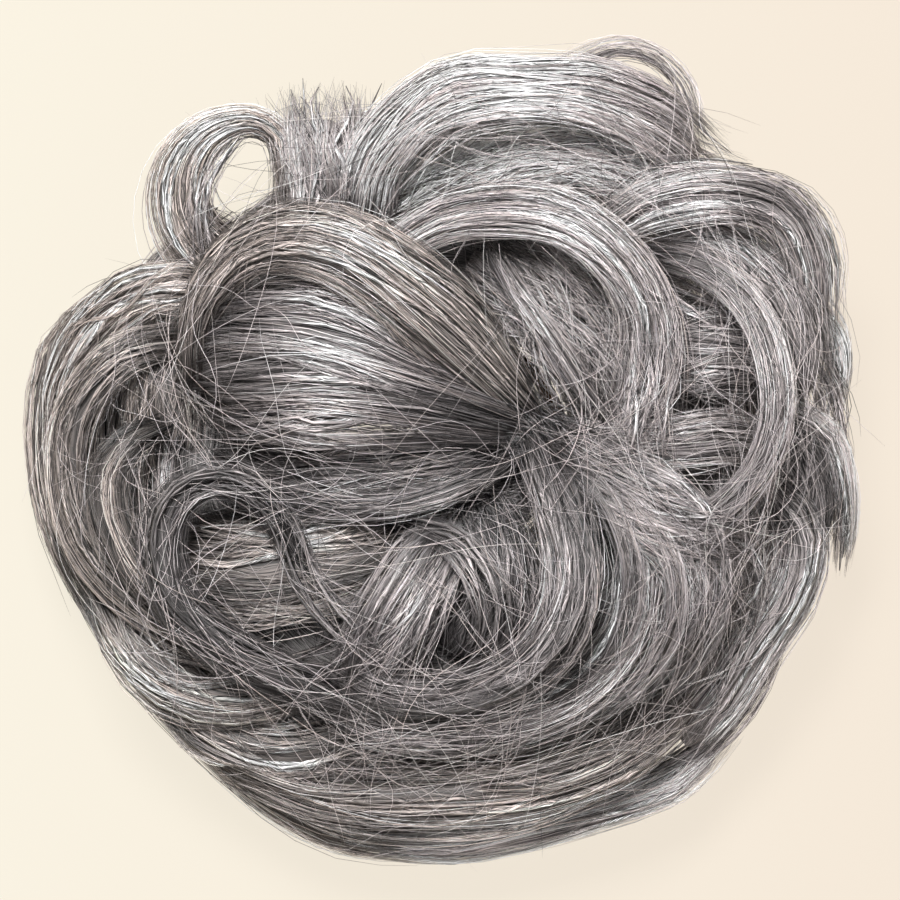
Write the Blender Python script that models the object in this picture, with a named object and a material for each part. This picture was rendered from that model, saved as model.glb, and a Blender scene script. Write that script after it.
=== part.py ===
"""A messy top knot hairpiece: an elastic band, the hair base sewn round it, and the curled locks laid over it.

Metres, +Z up. The hairpiece lies on its underside, with the middle of its footprint at the origin.
"""

import math
from collections import namedtuple

import bmesh
import bpy
from mathutils import Matrix, Vector

MM = 0.001

# Driving sizes, in millimetres
BAND_INNER_RADIUS = 21.0
BAND_THICKNESS = 2.5
BAND_HEIGHT = 8.0
BAND_UNDERSIDE = 8.0
BAND_SEGMENTS = 40

CLEARANCE = 0.3
BASE_SEGMENTS = 32
BASE_BOTTOM = 3.0
BASE_OUTER_RADIUS = 53.0
BASE_TOP = 34.0

LOCK_SIDES = 8
LOCK_RING_SPACING = 9.2
LOCK_END_SCALE = 0.55
TRIM_MARGIN = 0.36

# The skirt locks run round the base, short of the see-through gap inside the loop at the top left
SKIRT_START = math.radians(134)
SKIRT_END = math.radians(477)
SKIRT_SLANT = math.radians(62)
SKIRT_STATIONS = 5

# Radius and height of the base's section, from the foot of its inner wall round to its outer foot
SectionPoint = namedtuple("SectionPoint", "radius height")
BASE_SECTION = [
    SectionPoint(BAND_INNER_RADIUS + BAND_THICKNESS + CLEARANCE, BASE_BOTTOM + 2),
    SectionPoint(BAND_INNER_RADIUS + BAND_THICKNESS + CLEARANCE, BASE_TOP - 5),
    SectionPoint(30, BASE_TOP),
    SectionPoint(44, BASE_TOP),
    SectionPoint(BASE_OUTER_RADIUS - 1, BASE_TOP - 7),
    SectionPoint(BASE_OUTER_RADIUS, 14),
    SectionPoint(BASE_OUTER_RADIUS - 4, BASE_BOTTOM),
]

# A skirt lock's height, radius beyond the base and section at its middle, all in millimetres. Its ends
# rise and draw in towards the base, and it reaches past its share of the row by its overlap.
SkirtRow = namedtuple("SkirtRow", "name count middle_height end_rise overhang draw_in width thick overlap")
SKIRT_ROWS = [
    SkirtRow("high", 5, 16, 4, 9, 6, 13, 7, 0.12),
    SkirtRow("low", 6, 6.6, 4, 6.5, 6, 14, 7, 0.15),
]

# The locks, top layer first: each is trimmed to lie under the ones before it.
# A station is the lock's middle there, x, y and z from the band's centre, and its width.
Lock = namedtuple("Lock", "name shade thick stations slant", defaults=[0.0])
Station = namedtuple("Station", "x y z width")
LOCKS = [
    Lock("lock_arch_centre", "light", 9, [
        (-9, 37, 43, 6), (0, 42, 48, 7.5), (10, 43.5, 52, 8.5), (21, 42, 54.5, 9),
        (30, 36, 54, 9), (36, 27, 51, 9.5), (37, 17, 46, 10.5), (35, 6, 40, 11),
    ]),
    Lock("lock_loop_right", "light", 7, [
        (38, 36, 45, 3.5), (47, 33.5, 50, 5), (55, 26, 52, 6), (59, 16, 53, 6.5),
        (59.5, 5, 52, 6.5), (55, -5, 50, 6), (47, -12, 46, 5.5), (38, -17, 40, 4.5),
    ]),
    Lock("lock_arch_upper_left", "mid", 8, [
        (16, 7, 43, 6), (8.5, 15, 48, 10), (1, 22.5, 52, 13.5), (-8, 30, 54.5, 14),
        (-17, 36, 55, 13.5), (-26, 38.5, 54, 12), (-35, 36.5, 51, 9), (-41, 31, 49, 6.5),
        (-44.5, 24, 46, 4.5), (-45.5, 12, 39, 4),
    ]),
    Lock("lock_curl_centre_down", "light", 9, [
        (16.5, 2, 43, 6), (20.5, -8, 50, 9), (23, -19, 54, 9.5), (21.5, -29, 54, 9.5),
        (15, -38, 51, 9), (3, -43.5, 48, 8), (-10, -44, 44, 7.5), (-21, -39, 38, 6),
    ]),
    Lock("lock_fan_left", "light", 10, [
        (15, 5, 41, 6), (5, 8, 46, 11), (-8, 12, 51, 18), (-22, 15.5, 53, 26),
        (-36, 15.5, 47, 25), (-43, 15, 37, 20),
    ]),
    Lock("lock_wisp_centre", "light", 3.5, [
        (8.5, 37, 42, 3.5), (13, 29.5, 48, 3.5), (18.5, 21.5, 49, 3.5), (24.5, 12.5, 46, 3.5),
        (29, 5, 41, 3),
    ]),
    Lock("lock_wisp_left_centre", "light", 4, [
        (14, 1, 42, 3), (9.5, -3, 46, 3.5), (0.5, -7, 48, 4.5), (-10.5, -9.5, 47, 5),
        (-22, -9.5, 45, 5), (-32, -7, 42, 4),
    ]),
    Lock("lock_curl_left", "mid", 7, [
        (-25, -19, 41, 4), (-31.5, -9, 45, 4.5), (-40, -5, 48, 5), (-47, -8, 48, 6),
        (-50, -16.5, 47, 7), (-47, -27, 46, 8), (-37.5, -36, 44, 8), (-25, -42, 40, 7.5),
        (-13, -46, 36, 6),
    ]),
    Lock("lock_tuft_lower", "light", 7, [
        (2, -14, 42, 7), (-3, -23, 47, 11), (-9, -32, 46, 13), (-17, -39, 42, 11),
    ]),
    Lock("lock_arch_right", "mid", 8, [
        (29, 40, 40, 6), (38, 45, 46, 8.5), (50, 46.5, 48, 9.5), (60.5, 43.5, 45, 10.5),
        (66, 35, 38, 10), (67, 24, 29, 8.5),
    ]),
    Lock("lock_sweep_right", "mid", 7, [
        (21, 3, 42, 5), (30, -3, 46, 9), (38, -8.5, 47, 12), (43.5, -16.5, 46, 12),
        (44.5, -26, 44, 11), (40, -36, 40, 9),
    ]),
    Lock("lock_arch_top", "light", 9, [
        (-14, 43, 35, 10), (-12, 52, 40, 12), (-6.5, 60, 45, 13.5), (2.5, 66, 48, 13.5),
        (14, 66.5, 49, 13), (26.5, 65.5, 47, 13), (37.5, 61, 43, 13), (45.5, 54, 36, 11),
    ]),
    Lock("lock_curl_outer", "mid", 7, [
        (29, -2, 40, 5.5), (34.5, -14, 42, 8), (35.5, -25.5, 43, 9), (30.5, -37, 43, 9),
        (20, -45, 42, 9), (5, -49.5, 40, 8.5), (-11, -49, 38, 7.5), (-22, -44, 34, 6),
    ]),
    Lock("lock_sweep_left_inner", "mid", 6, [
        (-50, 5, 39, 4), (-56.5, 1.5, 42, 6), (-60, -5.5, 42, 7.5), (-58, -15.5, 42, 7.5),
        (-52, -24.5, 42, 7), (-41, -32, 39, 6),
    ]),
    Lock("lock_sweep_right_upper", "mid", 6, [
        (18.5, 4.5, 40, 5), (28, 2.5, 41, 7), (39, 2, 42, 9), (50, 3, 41, 9), (57, 2, 38, 7),
    ]),
    Lock("lock_inner_curl", "warm", 6, [
        (-48, -19, 37, 14), (-36.5, -21, 40, 18), (-24, -20, 41, 17), (-8, -16, 40, 14),
    ]),
    Lock("lock_inner_lower", "dark", 7, [(5, -8, 38, 10), (8, -22, 40, 21), (3, -36, 38, 20)]),
    Lock("lock_band_left_centre", "dark", 7, [
        (11, 0, 38.5, 6), (-2, -2, 40, 12), (-17, -4, 41, 16), (-31, -4, 38, 15), (-41, 0, 34, 10),
    ]),
    Lock("lock_window_right", "mid", 6, [(39, 19, 36, 13), (48, 18.5, 38, 16), (58, 17, 36, 14)]),
    Lock("lock_inner_right", "dark", 6, [
        (38, 38.5, 38, 8), (49, 37.5, 39, 11), (59, 30, 38, 12), (64, 19.5, 34, 10),
        (65, 10.5, 30, 7),
    ]),
    Lock("lock_tuft_upright", "mid", 7, [
        (-19, 40, 33, 11), (-21, 49, 38, 13), (-21.5, 57.5, 39, 14), (-22, 64.5, 36, 13),
    ]),
    Lock("lock_loop_top_left", "mid", 6, [
        (-39, 33, 31, 12), (-46, 41, 36, 12), (-47, 50, 39, 10.5), (-43, 57, 40, 7.5),
        (-35.5, 60, 39, 5), (-30, 57.5, 37, 4.5), (-28.5, 51, 34, 4.5), (-29, 43, 31, 4.5),
    ]),
    Lock("lock_loop_top_right", "mid", 3.5, [
        (19, 67, 43, 3.5), (30, 73, 40, 3.5), (38.5, 71.5, 37, 3.5), (44, 65.5, 35, 3.5),
        (45.5, 57, 34, 3.5),
    ]),
    Lock("lock_sweep_left_outer", "mid", 8, [
        (-44.5, 21, 36, 5), (-57, 18, 39, 7.5), (-65, 9.5, 38, 8), (-67.5, -1, 37, 8),
        (-65, -14, 36, 8.5), (-56.5, -25, 36, 8.5), (-43, -33.5, 36, 7.5), (-29, -38.5, 33, 6),
    ]),
    Lock("lock_sweep_upper_left", "warm", 8, [
        (-43.5, 30.5, 35, 8), (-53.5, 29, 34, 10), (-62, 24, 30, 10), (-68, 15, 25, 8),
    ]),
    Lock("lock_swag_left", "mid", 7.5, [
        (-63.5, -22, 28, 6), (-57, -34.5, 31, 9), (-46.5, -42.5, 33, 10.5), (-34, -44, 34, 10.5),
        (-19.5, -39, 32, 9),
    ]),
    Lock("lock_inner_left", "dark", 6, [(-46, 22, 31, 10), (-49.5, 12.5, 33, 13), (-50, 1, 32, 13)]),
    Lock("lock_inner_top", "dark", 7, [
        (0, 50, 34, 11), (14, 54.5, 36, 13), (28, 54.5, 36, 13), (42.5, 50, 33, 12),
        (52, 47, 29, 9),
    ]),
    Lock("lock_inner_centre", "dark", 6, [
        (5, 35, 34, 10), (17.5, 29.5, 37, 14), (28, 20.5, 37, 14), (34, 10, 35, 10),
    ]),
    Lock("lock_edge_right_lower", "mid", 8, [
        (59, -6.5, 34, 7), (65.5, -14.5, 32, 9.5), (64.5, -24.5, 30, 10), (58, -35, 28, 10),
        (51.5, -45, 25, 9.5), (44.5, -53, 23, 8),
    ]),
    Lock("lock_edge_right", "mid", 7, [
        (61.5, 8, 34, 5), (69, 3.5, 32, 7), (72, -4.5, 29, 6), (73, -12.5, 24, 4.5),
        (72.5, -19, 20, 3),
    ]),
    Lock("lock_edge_right_upper", "light", 5, [
        (64, 30.5, 30, 5), (70, 23, 27, 5.5), (72, 15, 24, 4.5), (70.5, 6, 21, 3.5),
    ]),
    Lock("lock_swag_left_lower", "warm", 7, [
        (-53.5, -42.5, 27, 6), (-43, -50.5, 29, 9), (-28.5, -53.5, 31, 10), (-14, -50.5, 31, 9),
    ]),
    Lock("lock_swag_bottom", "mid", 8, [
        (-37.5, -56, 26, 7), (-20.5, -61.5, 28, 11), (-2.5, -62.5, 30, 12), (15.5, -60.5, 30, 12),
        (32, -54.5, 30, 11), (44.5, -45, 28, 9),
    ]),
    Lock("lock_edge_left", "warm", 8, [
        (-59.5, 28.5, 23, 6), (-68.5, 19.5, 22, 8), (-71.5, 9, 21, 7.5), (-71.5, -3, 21, 7.5),
        (-69.5, -13.5, 21, 7), (-64.5, -24.5, 20, 6.5),
    ]),
    Lock("lock_edge_bottom_left", "mid", 8, [
        (-68.5, -16.5, 17, 7), (-61.5, -29, 20, 9), (-52.5, -40.5, 21, 10), (-42, -51.5, 20, 10),
        (-30, -61.5, 19, 10), (-17.5, -68.5, 18, 9), (-3, -70, 17, 9),
    ]),
    Lock("lock_edge_bottom", "light", 7, [
        (-12, -70.5, 18, 6), (0, -70.5, 19, 8), (10.5, -69, 20, 8), (26.5, -65, 20, 8.5),
        (42, -59.5, 19, 8.5), (52.5, -50.5, 18, 7),
    ]),
]

# Colour of each shade of hair, and of the elastic
SHADES = {
    "light": (0.42, 0.39, 0.37),
    "mid": (0.25, 0.235, 0.225),
    "dark": (0.11, 0.105, 0.105),
    "warm": (0.27, 0.235, 0.205),
}
ELASTIC_COLOUR = (0.16, 0.085, 0.035)


def clear_scene():
    """Removes what the startup scene holds."""
    for obj in list(bpy.data.objects):
        bpy.data.objects.remove(obj, do_unlink=True)


def make_material(name, colour, roughness):
    """A plain Principled material."""
    material = bpy.data.materials.new(name)
    material.use_nodes = True
    shader = material.node_tree.nodes["Principled BSDF"]
    shader.inputs["Base Color"].default_value = (*colour, 1.0)
    shader.inputs["Roughness"].default_value = roughness
    shader.inputs["Metallic"].default_value = 0.0
    return material


def make_object(name, bm, material=None):
    """An object holding this bmesh, smooth but for its sharp edges."""
    bmesh.ops.recalc_face_normals(bm, faces=bm.faces)
    mesh = bpy.data.meshes.new(name)
    bm.to_mesh(mesh)
    bm.free()
    mesh.shade_smooth()
    mesh.set_sharp_from_angle(angle=math.radians(50))
    obj = bpy.data.objects.new(name, mesh)
    bpy.context.scene.collection.objects.link(obj)
    if material:
        mesh.materials.append(material)
    return obj


def turned_ring(section, segments):
    """A closed section of radius and height points, in millimetres, spun once round the Z axis."""
    bm = bmesh.new()
    verts = [bm.verts.new((point.radius * MM, 0, point.height * MM)) for point in section]
    edges = [bm.edges.new((verts[i - 1], verts[i])) for i in range(len(verts))]
    bmesh.ops.spin(
        bm, geom=verts + edges, cent=(0, 0, 0), axis=(0, 0, 1), angle=math.tau, steps=segments,
        use_merge=True,
    )
    bmesh.ops.remove_doubles(bm, verts=bm.verts, dist=0.01 * MM)
    return bm


def smooth_point(rows, position):
    """The point at this position, in rows, of a smooth curve through the rows (Catmull-Rom)."""
    index = min(int(position), len(rows) - 2)
    t = position - index
    before, start, end, after = (
        Vector(rows[min(max(index + step, 0), len(rows) - 1)]) for step in (-1, 0, 1, 2)
    )
    return 0.5 * (
        2 * start
        + (end - before) * t
        + (2 * before - 5 * start + 4 * end - after) * t * t
        + (3 * start - before - 3 * end + after) * t ** 3
    )


def stations_along(rows):
    """Evenly spaced stations on the smooth curve through a lock's own stations."""
    length = sum((Vector(b[:3]) - Vector(a[:3])).length for a, b in zip(rows, rows[1:]))
    count = max(5, round(length / LOCK_RING_SPACING))
    return [Station(*smooth_point(rows, (len(rows) - 1) * i / count)) for i in range(count + 1)]


def swept_lock(lock, margin=0.0):
    """A flat tube of hair through the lock's stations, narrowed at its ends.

    The lock's slant rolls its section about its length, and the margin makes it larger all round.
    """
    stations = stations_along(lock.stations)
    thick = lock.thick
    points = [Vector(station[:3]) for station in stations]
    widths = [station.width for station in stations]
    tangents = [
        (points[min(i + 1, len(points) - 1)] - points[max(i - 1, 0)]).normalized()
        for i in range(len(points))
    ]
    points.insert(0, points[0] - tangents[0] * (0.25 * thick + margin))
    points.append(points[-1] + tangents[-1] * (0.25 * thick + margin))
    tangents = [tangents[0], *tangents, tangents[-1]]
    widths = [widths[0] * LOCK_END_SCALE, *widths, widths[-1] * LOCK_END_SCALE]
    thicks = [thick * LOCK_END_SCALE, *([thick] * (len(points) - 2)), thick * LOCK_END_SCALE]

    bm = bmesh.new()
    placed = None
    for point, tangent, width, depth in zip(points, tangents, widths, thicks):
        across = Vector((0, 0, 1)).cross(tangent).normalized()
        across.rotate(Matrix.Rotation(lock.slant, 3, tangent))
        up = tangent.cross(across)
        matrix = Matrix.Identity(4)
        matrix.col[0] = (across * (width / 2 + margin) * MM).to_4d()
        matrix.col[1] = (up * (depth / 2 + margin) * MM).to_4d()
        matrix.col[2] = (tangent * MM).to_4d()
        for column in range(3):
            matrix[3][column] = 0
        matrix.translation = point * MM
        if placed is None:
            turn = Matrix.Rotation(math.pi / LOCK_SIDES, 4, "Z")
            bmesh.ops.create_circle(
                bm, cap_ends=True, segments=LOCK_SIDES, radius=1, matrix=matrix @ turn
            )
            ring = list(bm.edges)
        else:
            made = bmesh.ops.extrude_edge_only(bm, edges=ring)["geom"]
            verts = [item for item in made if isinstance(item, bmesh.types.BMVert)]
            fresh = set(verts)
            ring = [
                item for item in made
                if isinstance(item, bmesh.types.BMEdge) and fresh.issuperset(item.verts)
            ]
            bmesh.ops.transform(bm, matrix=matrix @ placed.inverted(), verts=verts)
        placed = matrix
    bmesh.ops.contextual_create(bm, geom=ring)
    return bm


def combine(obj, others, operation):
    """The object's mesh after a Boolean with each of the others, which are then removed."""
    for other in others:
        other.hide_render = True
        other.display_type = "WIRE"
        modifier = obj.modifiers.new(other.name, "BOOLEAN")
        modifier.operation = operation
        modifier.solver = "EXACT"
        modifier.object = other
    graph = bpy.context.evaluated_depsgraph_get()
    result = bpy.data.meshes.new_from_object(obj.evaluated_get(graph))
    obj.modifiers.clear()
    obj.data = result
    for other in others:
        bpy.data.objects.remove(other, do_unlink=True)


def islands_of(bm):
    """The connected sets of faces of a bmesh."""
    left = set(bm.faces)
    while left:
        island = {left.pop()}
        edge_faces = list(island)
        while edge_faces:
            face = edge_faces.pop()
            beside = {near for edge in face.edges for near in edge.link_faces} & left
            left -= beside
            island |= beside
            edge_faces.extend(beside)
        yield island


def keep_largest_island(obj):
    """Drops the clippings that trimming left."""
    bm = bmesh.new()
    bm.from_mesh(obj.data)
    islands = sorted(islands_of(bm), key=lambda island: sum(face.calc_area() for face in island))
    clippings = [face for island in islands[:-1] for face in island]
    bmesh.ops.delete(bm, geom=clippings, context="FACES")
    bm.to_mesh(obj.data)
    bm.free()


def boxes_meet(first, second):
    """Whether the bounding boxes of two objects, both at the origin, overlap."""
    a, b = ([Vector(corner) for corner in obj.bound_box] for obj in (first, second))
    return all(
        min(p[axis] for p in a) < max(p[axis] for p in b)
        and min(p[axis] for p in b) < max(p[axis] for p in a)
        for axis in range(3)
    )


def trim_under(obj, uppers):
    """Cuts away from the object the room that the upper locks and their clearance take."""
    cutters = [
        make_object(f"trim_{upper.name}", swept_lock(upper, margin=TRIM_MARGIN)) for upper in uppers
    ]
    near = [cutter for cutter in cutters if boxes_meet(obj, cutter)]
    for cutter in set(cutters) - set(near):
        bpy.data.objects.remove(cutter, do_unlink=True)
    combine(obj, near, "DIFFERENCE")
    keep_largest_island(obj)


def elastic_band():
    """The flat elastic ring that grips the wearer's own bun."""
    inner, outer = BAND_INNER_RADIUS, BAND_INNER_RADIUS + BAND_THICKNESS
    low, high = BAND_UNDERSIDE, BAND_UNDERSIDE + BAND_HEIGHT
    section = [
        SectionPoint(inner, low),
        SectionPoint(inner, high),
        SectionPoint(outer, high),
        SectionPoint(outer, low),
    ]
    material = make_material("elastic", ELASTIC_COLOUR, 0.75)
    return make_object("elastic_band", turned_ring(section, BAND_SEGMENTS), material)


def skirt_lock(row, index):
    """One of the locks that hang round the outside of the base and curl in under it."""
    share = (SKIRT_END - SKIRT_START) / row.count
    first = SKIRT_START + share * (index - (row.overlap if index else 0))
    last = SKIRT_START + share * (index + 1 + (row.overlap if index < row.count - 1 else 0))
    stations = []
    for step in range(SKIRT_STATIONS):
        along = 2 * step / (SKIRT_STATIONS - 1) - 1
        angle = (first + last + along * (last - first)) / 2
        radius = BASE_OUTER_RADIUS + row.overhang - row.draw_in * along * along
        height = row.middle_height + row.end_rise * along * along
        width = row.width * (1 - 0.35 * along * along)
        stations.append((radius * math.cos(angle), radius * math.sin(angle), height, width))
    return Lock(f"skirt_{row.name}_{index + 1}", "mid", row.thick, stations, SKIRT_SLANT)


def hair_base(locks):
    """The hair wound and sewn round the band, hollowed where the locks lie in it."""
    material = make_material("hair_base", SHADES["dark"], 0.6)
    base = make_object("hair_base", turned_ring(BASE_SECTION, BASE_SEGMENTS), material)
    trim_under(base, locks)
    return base


def hair_lock(lock, uppers):
    """One lock, trimmed to lie under those above it."""
    material = make_material(lock.name, SHADES[lock.shade], 0.5)
    obj = make_object(lock.name, swept_lock(lock), material)
    trim_under(obj, uppers)
    return obj


def stand_on_origin(objects):
    """Moves the whole so that its box stands on Z = 0 with its middle on the Z axis."""
    corners = [Vector(corner) for obj in objects for corner in obj.bound_box]
    low = Vector(min(corner[axis] for corner in corners) for axis in range(3))
    high = Vector(max(corner[axis] for corner in corners) for axis in range(3))
    shift = Vector((-(low.x + high.x) / 2, -(low.y + high.y) / 2, -low.z))
    hairpiece = bpy.data.objects.new("hairpiece", None)
    bpy.context.scene.collection.objects.link(hairpiece)
    hairpiece.location = shift
    for obj in objects:
        obj.parent = hairpiece


def main():
    clear_scene()
    locks = LOCKS + [skirt_lock(row, index) for row in SKIRT_ROWS for index in range(row.count)]
    hair = [hair_lock(lock, locks[:index]) for index, lock in enumerate(locks)]
    stand_on_origin([elastic_band(), hair_base(locks), *hair])


main()
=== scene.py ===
"""A messy top knot hairpiece of salt and pepper grey locks on an elastic band, dressed strand by strand."""

import logging
import math
from dataclasses import dataclass, field
from enum import Enum
from typing import Any, Iterable

import bmesh
import bpy
import numpy as np
from mathutils import Matrix, Vector


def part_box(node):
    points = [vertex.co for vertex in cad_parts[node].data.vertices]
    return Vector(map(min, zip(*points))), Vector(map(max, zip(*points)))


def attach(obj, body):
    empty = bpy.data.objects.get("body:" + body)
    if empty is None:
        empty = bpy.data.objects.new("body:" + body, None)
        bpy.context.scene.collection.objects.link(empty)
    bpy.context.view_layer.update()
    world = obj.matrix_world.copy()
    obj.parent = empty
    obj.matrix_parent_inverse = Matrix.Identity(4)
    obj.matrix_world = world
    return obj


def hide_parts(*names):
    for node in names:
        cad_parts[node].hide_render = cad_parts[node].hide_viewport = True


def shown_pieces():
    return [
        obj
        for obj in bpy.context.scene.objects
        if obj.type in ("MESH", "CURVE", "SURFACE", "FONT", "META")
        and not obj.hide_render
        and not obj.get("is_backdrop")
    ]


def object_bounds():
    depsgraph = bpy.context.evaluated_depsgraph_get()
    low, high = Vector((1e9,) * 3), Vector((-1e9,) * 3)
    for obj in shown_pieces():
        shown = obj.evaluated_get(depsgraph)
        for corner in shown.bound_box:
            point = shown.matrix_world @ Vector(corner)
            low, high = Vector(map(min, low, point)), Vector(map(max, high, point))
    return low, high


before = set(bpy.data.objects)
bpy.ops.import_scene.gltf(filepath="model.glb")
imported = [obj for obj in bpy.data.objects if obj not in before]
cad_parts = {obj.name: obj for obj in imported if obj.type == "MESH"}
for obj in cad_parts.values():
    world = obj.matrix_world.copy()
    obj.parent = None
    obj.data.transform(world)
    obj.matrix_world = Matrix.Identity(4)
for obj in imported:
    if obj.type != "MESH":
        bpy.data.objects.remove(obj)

log = logging.getLogger("top_knot")

MM = 0.001
BODY = "root"
COLOUR = "hair_colour"
LOCK_UV = "lock_uv"
BAKE_UV = "OFBake"

# One pixel of the photograph, at the height of the hair's upper layers
PIXEL = 0.18 * MM
PHOTO_PIXELS = 900
BAND_PIXEL = (443.0, 454.0)
FOCUS_HEIGHT = 36 * MM
CAMERA_DISTANCE = 1.5

# The lowest that a strand lies over the floor
FLOOR_GAP = 0.3 * MM

# How far a lock turns between two rings of its mass, or two points of a strand
RING_TURN = math.radians(11)

# Fewest and most spans of a strand, and the longest that one of them is meant to be
SPANS = (8, 20)
SPAN_LENGTH = 7 * MM

# The lightest that a strand and a strip of fibres may be, and how many times wider than high a strip is
STRAND_WHITE = 0.95
STRIP_WHITE = 0.42
STRIP_FLATNESS = 7.0

# A way that no strand runs, from which the sides of a round one are measured
ASIDE = (0.13, 0.21, 0.97)

# Share of the bake map's height that the strands take, below the mass, and of its column that a side takes
STRAND_ROOM = 0.78
SIDE_ROOM = 0.9

# Seeds of the random draws of each piece with no lock of its own, and the first of the wisps
BASE_SEED = 7
STRAY_SEED = 11
WISP_SEED = 100

Station = tuple[float, float, float, float]
Colour = tuple[float, float, float, float]


class Shade(Enum):
    """How light a lock is, as the mix of its white, grey and black strands."""

    LIGHT = "light"
    MID = "mid"
    DARK = "dark"
    WARM = "warm"
    PALE = "pale"


def link(name: str, data: Any) -> bpy.types.Object:
    """Puts a mesh, a light or a camera in the scene, as an object at the origin."""
    made = bpy.data.objects.new(name, data)
    bpy.context.scene.collection.objects.link(made)
    return made


def spin(section: Iterable[tuple[float, float]], steps: int, middle: np.ndarray) -> bmesh.types.BMesh:
    """Spins a closed section once round an upright line.

    Args:
        section: radius and height round the section, in millimetres.
        steps: steps of the turn.
        middle: the foot of the line, in metres.

    Returns:
        The closed ring.
    """
    bm = bmesh.new()
    verts = [bm.verts.new((radius * MM, 0, height * MM)) for radius, height in section]
    edges = [bm.edges.new((verts[index - 1], verts[index])) for index in range(len(verts))]
    bmesh.ops.spin(
        bm, geom=verts + edges, cent=(0, 0, 0), axis=(0, 0, 1), angle=math.tau, steps=steps, use_merge=True
    )
    bmesh.ops.remove_doubles(bm, verts=bm.verts, dist=0.01 * MM)
    bmesh.ops.translate(bm, verts=bm.verts, vec=Vector(middle))
    bmesh.ops.recalc_face_normals(bm, faces=bm.faces)
    return bm


def taper(step: np.ndarray, blunt: float) -> np.ndarray:
    """A strand's share of its full radius, which is blunt at its start and falls to 0.2 at its end."""
    return np.clip(np.minimum(blunt + 6 * step, 0.2 + 4 * (1 - step)), 0, 1)


def waves(t: np.ndarray, turns: np.ndarray, first: np.ndarray) -> np.ndarray:
    """Sine waves along strands, of so many turns each, from the share of a turn that each starts at."""
    return np.sin(math.tau * (t * turns + first))


def corners(low: np.ndarray, high: np.ndarray, start: np.ndarray, stop: np.ndarray) -> np.ndarray:
    """Map places of the four corners of each face.

    Args:
        low: place of its first side across the map.
        high: place of its second side.
        start: place of its first end up the map.
        stop: place of its second end.

    Returns:
        The places, with axes for the corner and for its two numbers last.
    """
    pairs = [np.broadcast_arrays(*pair) for pair in ((low, start), (high, start), (high, stop), (low, stop))]
    return np.stack([np.stack(pair, axis=-1) for pair in pairs], axis=-2)


@dataclass(frozen=True)
class StrandMix:
    """The mix of strand colours in a lock.

    Attributes:
        grey: middle reflectance of its grey strands.
        white_share: share of near-white strands.
        black_share: share of near-black strands.
        tint: colour of a grey strand over its own grey.
    """

    grey: float
    white_share: float
    black_share: float
    tint: tuple[float, float, float] = (1.095, 0.98, 0.972)

    def middle(self) -> np.ndarray:
        """The mean colour of the mix."""
        grey_share = 1 - self.white_share - self.black_share
        return (1.05 * self.grey * grey_share + 0.78 * self.white_share) * np.array(self.tint)

    def colours(self, rng: np.random.Generator, count: int) -> np.ndarray:
        """Draws one colour for each strand.

        Args:
            rng: source of the random draws.
            count: number of strands.

        Returns:
            The colours, a row for each strand.
        """
        kind = rng.random(count)
        grey = self.grey * rng.uniform(0.25, 1.85, count)
        white = rng.uniform(0.6, 0.95, count)
        black = rng.uniform(0.02, 0.07, count)
        tone = np.where(kind < self.white_share, white, grey)
        tone = np.where(kind > 1 - self.black_share, black, tone)
        warmth = rng.normal(0, 0.018, count)[:, None] * np.array([1.0, 0.1, -1.0])
        return np.clip(tone[:, None] * (np.array(self.tint) + warmth), 0.0, STRAND_WHITE)


MIXES = {
    Shade.PALE: StrandMix(grey=0.6, white_share=0.45, black_share=0.04),
    Shade.LIGHT: StrandMix(grey=0.46, white_share=0.36, black_share=0.12),
    Shade.MID: StrandMix(grey=0.32, white_share=0.26, black_share=0.2),
    Shade.DARK: StrandMix(grey=0.17, white_share=0.14, black_share=0.36),
    Shade.WARM: StrandMix(grey=0.30, white_share=0.2, black_share=0.2, tint=(1.135, 0.977, 0.905)),
}


class Value:
    """A shader number that Python's operators work on, adding a Math node for each."""

    def __init__(self, graph: "Graph", socket: bpy.types.NodeSocket) -> None:
        """Wraps one output socket of the graph."""
        self.graph = graph
        self.socket = socket

    def _math(self, operation: str, first: Any, second: Any) -> "Value":
        """Adds one Math node.

        Args:
            operation: the node's operation.
            first: number or Value of its first socket.
            second: number or Value of its second socket.

        Returns:
            The node's result.
        """
        node = self.graph.node("ShaderNodeMath", {"operation": operation}, {0: first, 1: second})
        return Value(self.graph, node.outputs[0])

    def __add__(self, other: Any) -> "Value":
        """The sum."""
        return self._math("ADD", self, other)

    def __radd__(self, other: Any) -> "Value":
        """The sum, with the number first."""
        return self._math("ADD", other, self)

    def __sub__(self, other: Any) -> "Value":
        """The difference."""
        return self._math("SUBTRACT", self, other)

    def __rsub__(self, other: Any) -> "Value":
        """The difference, with the number first."""
        return self._math("SUBTRACT", other, self)

    def __mul__(self, other: Any) -> "Value":
        """The product."""
        return self._math("MULTIPLY", self, other)

    def __rmul__(self, other: Any) -> "Value":
        """The product, with the number first."""
        return self._math("MULTIPLY", other, self)

    def at_least(self, floor: float) -> "Value":
        """The larger of this and a number."""
        return self._math("MAXIMUM", self, floor)


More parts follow.
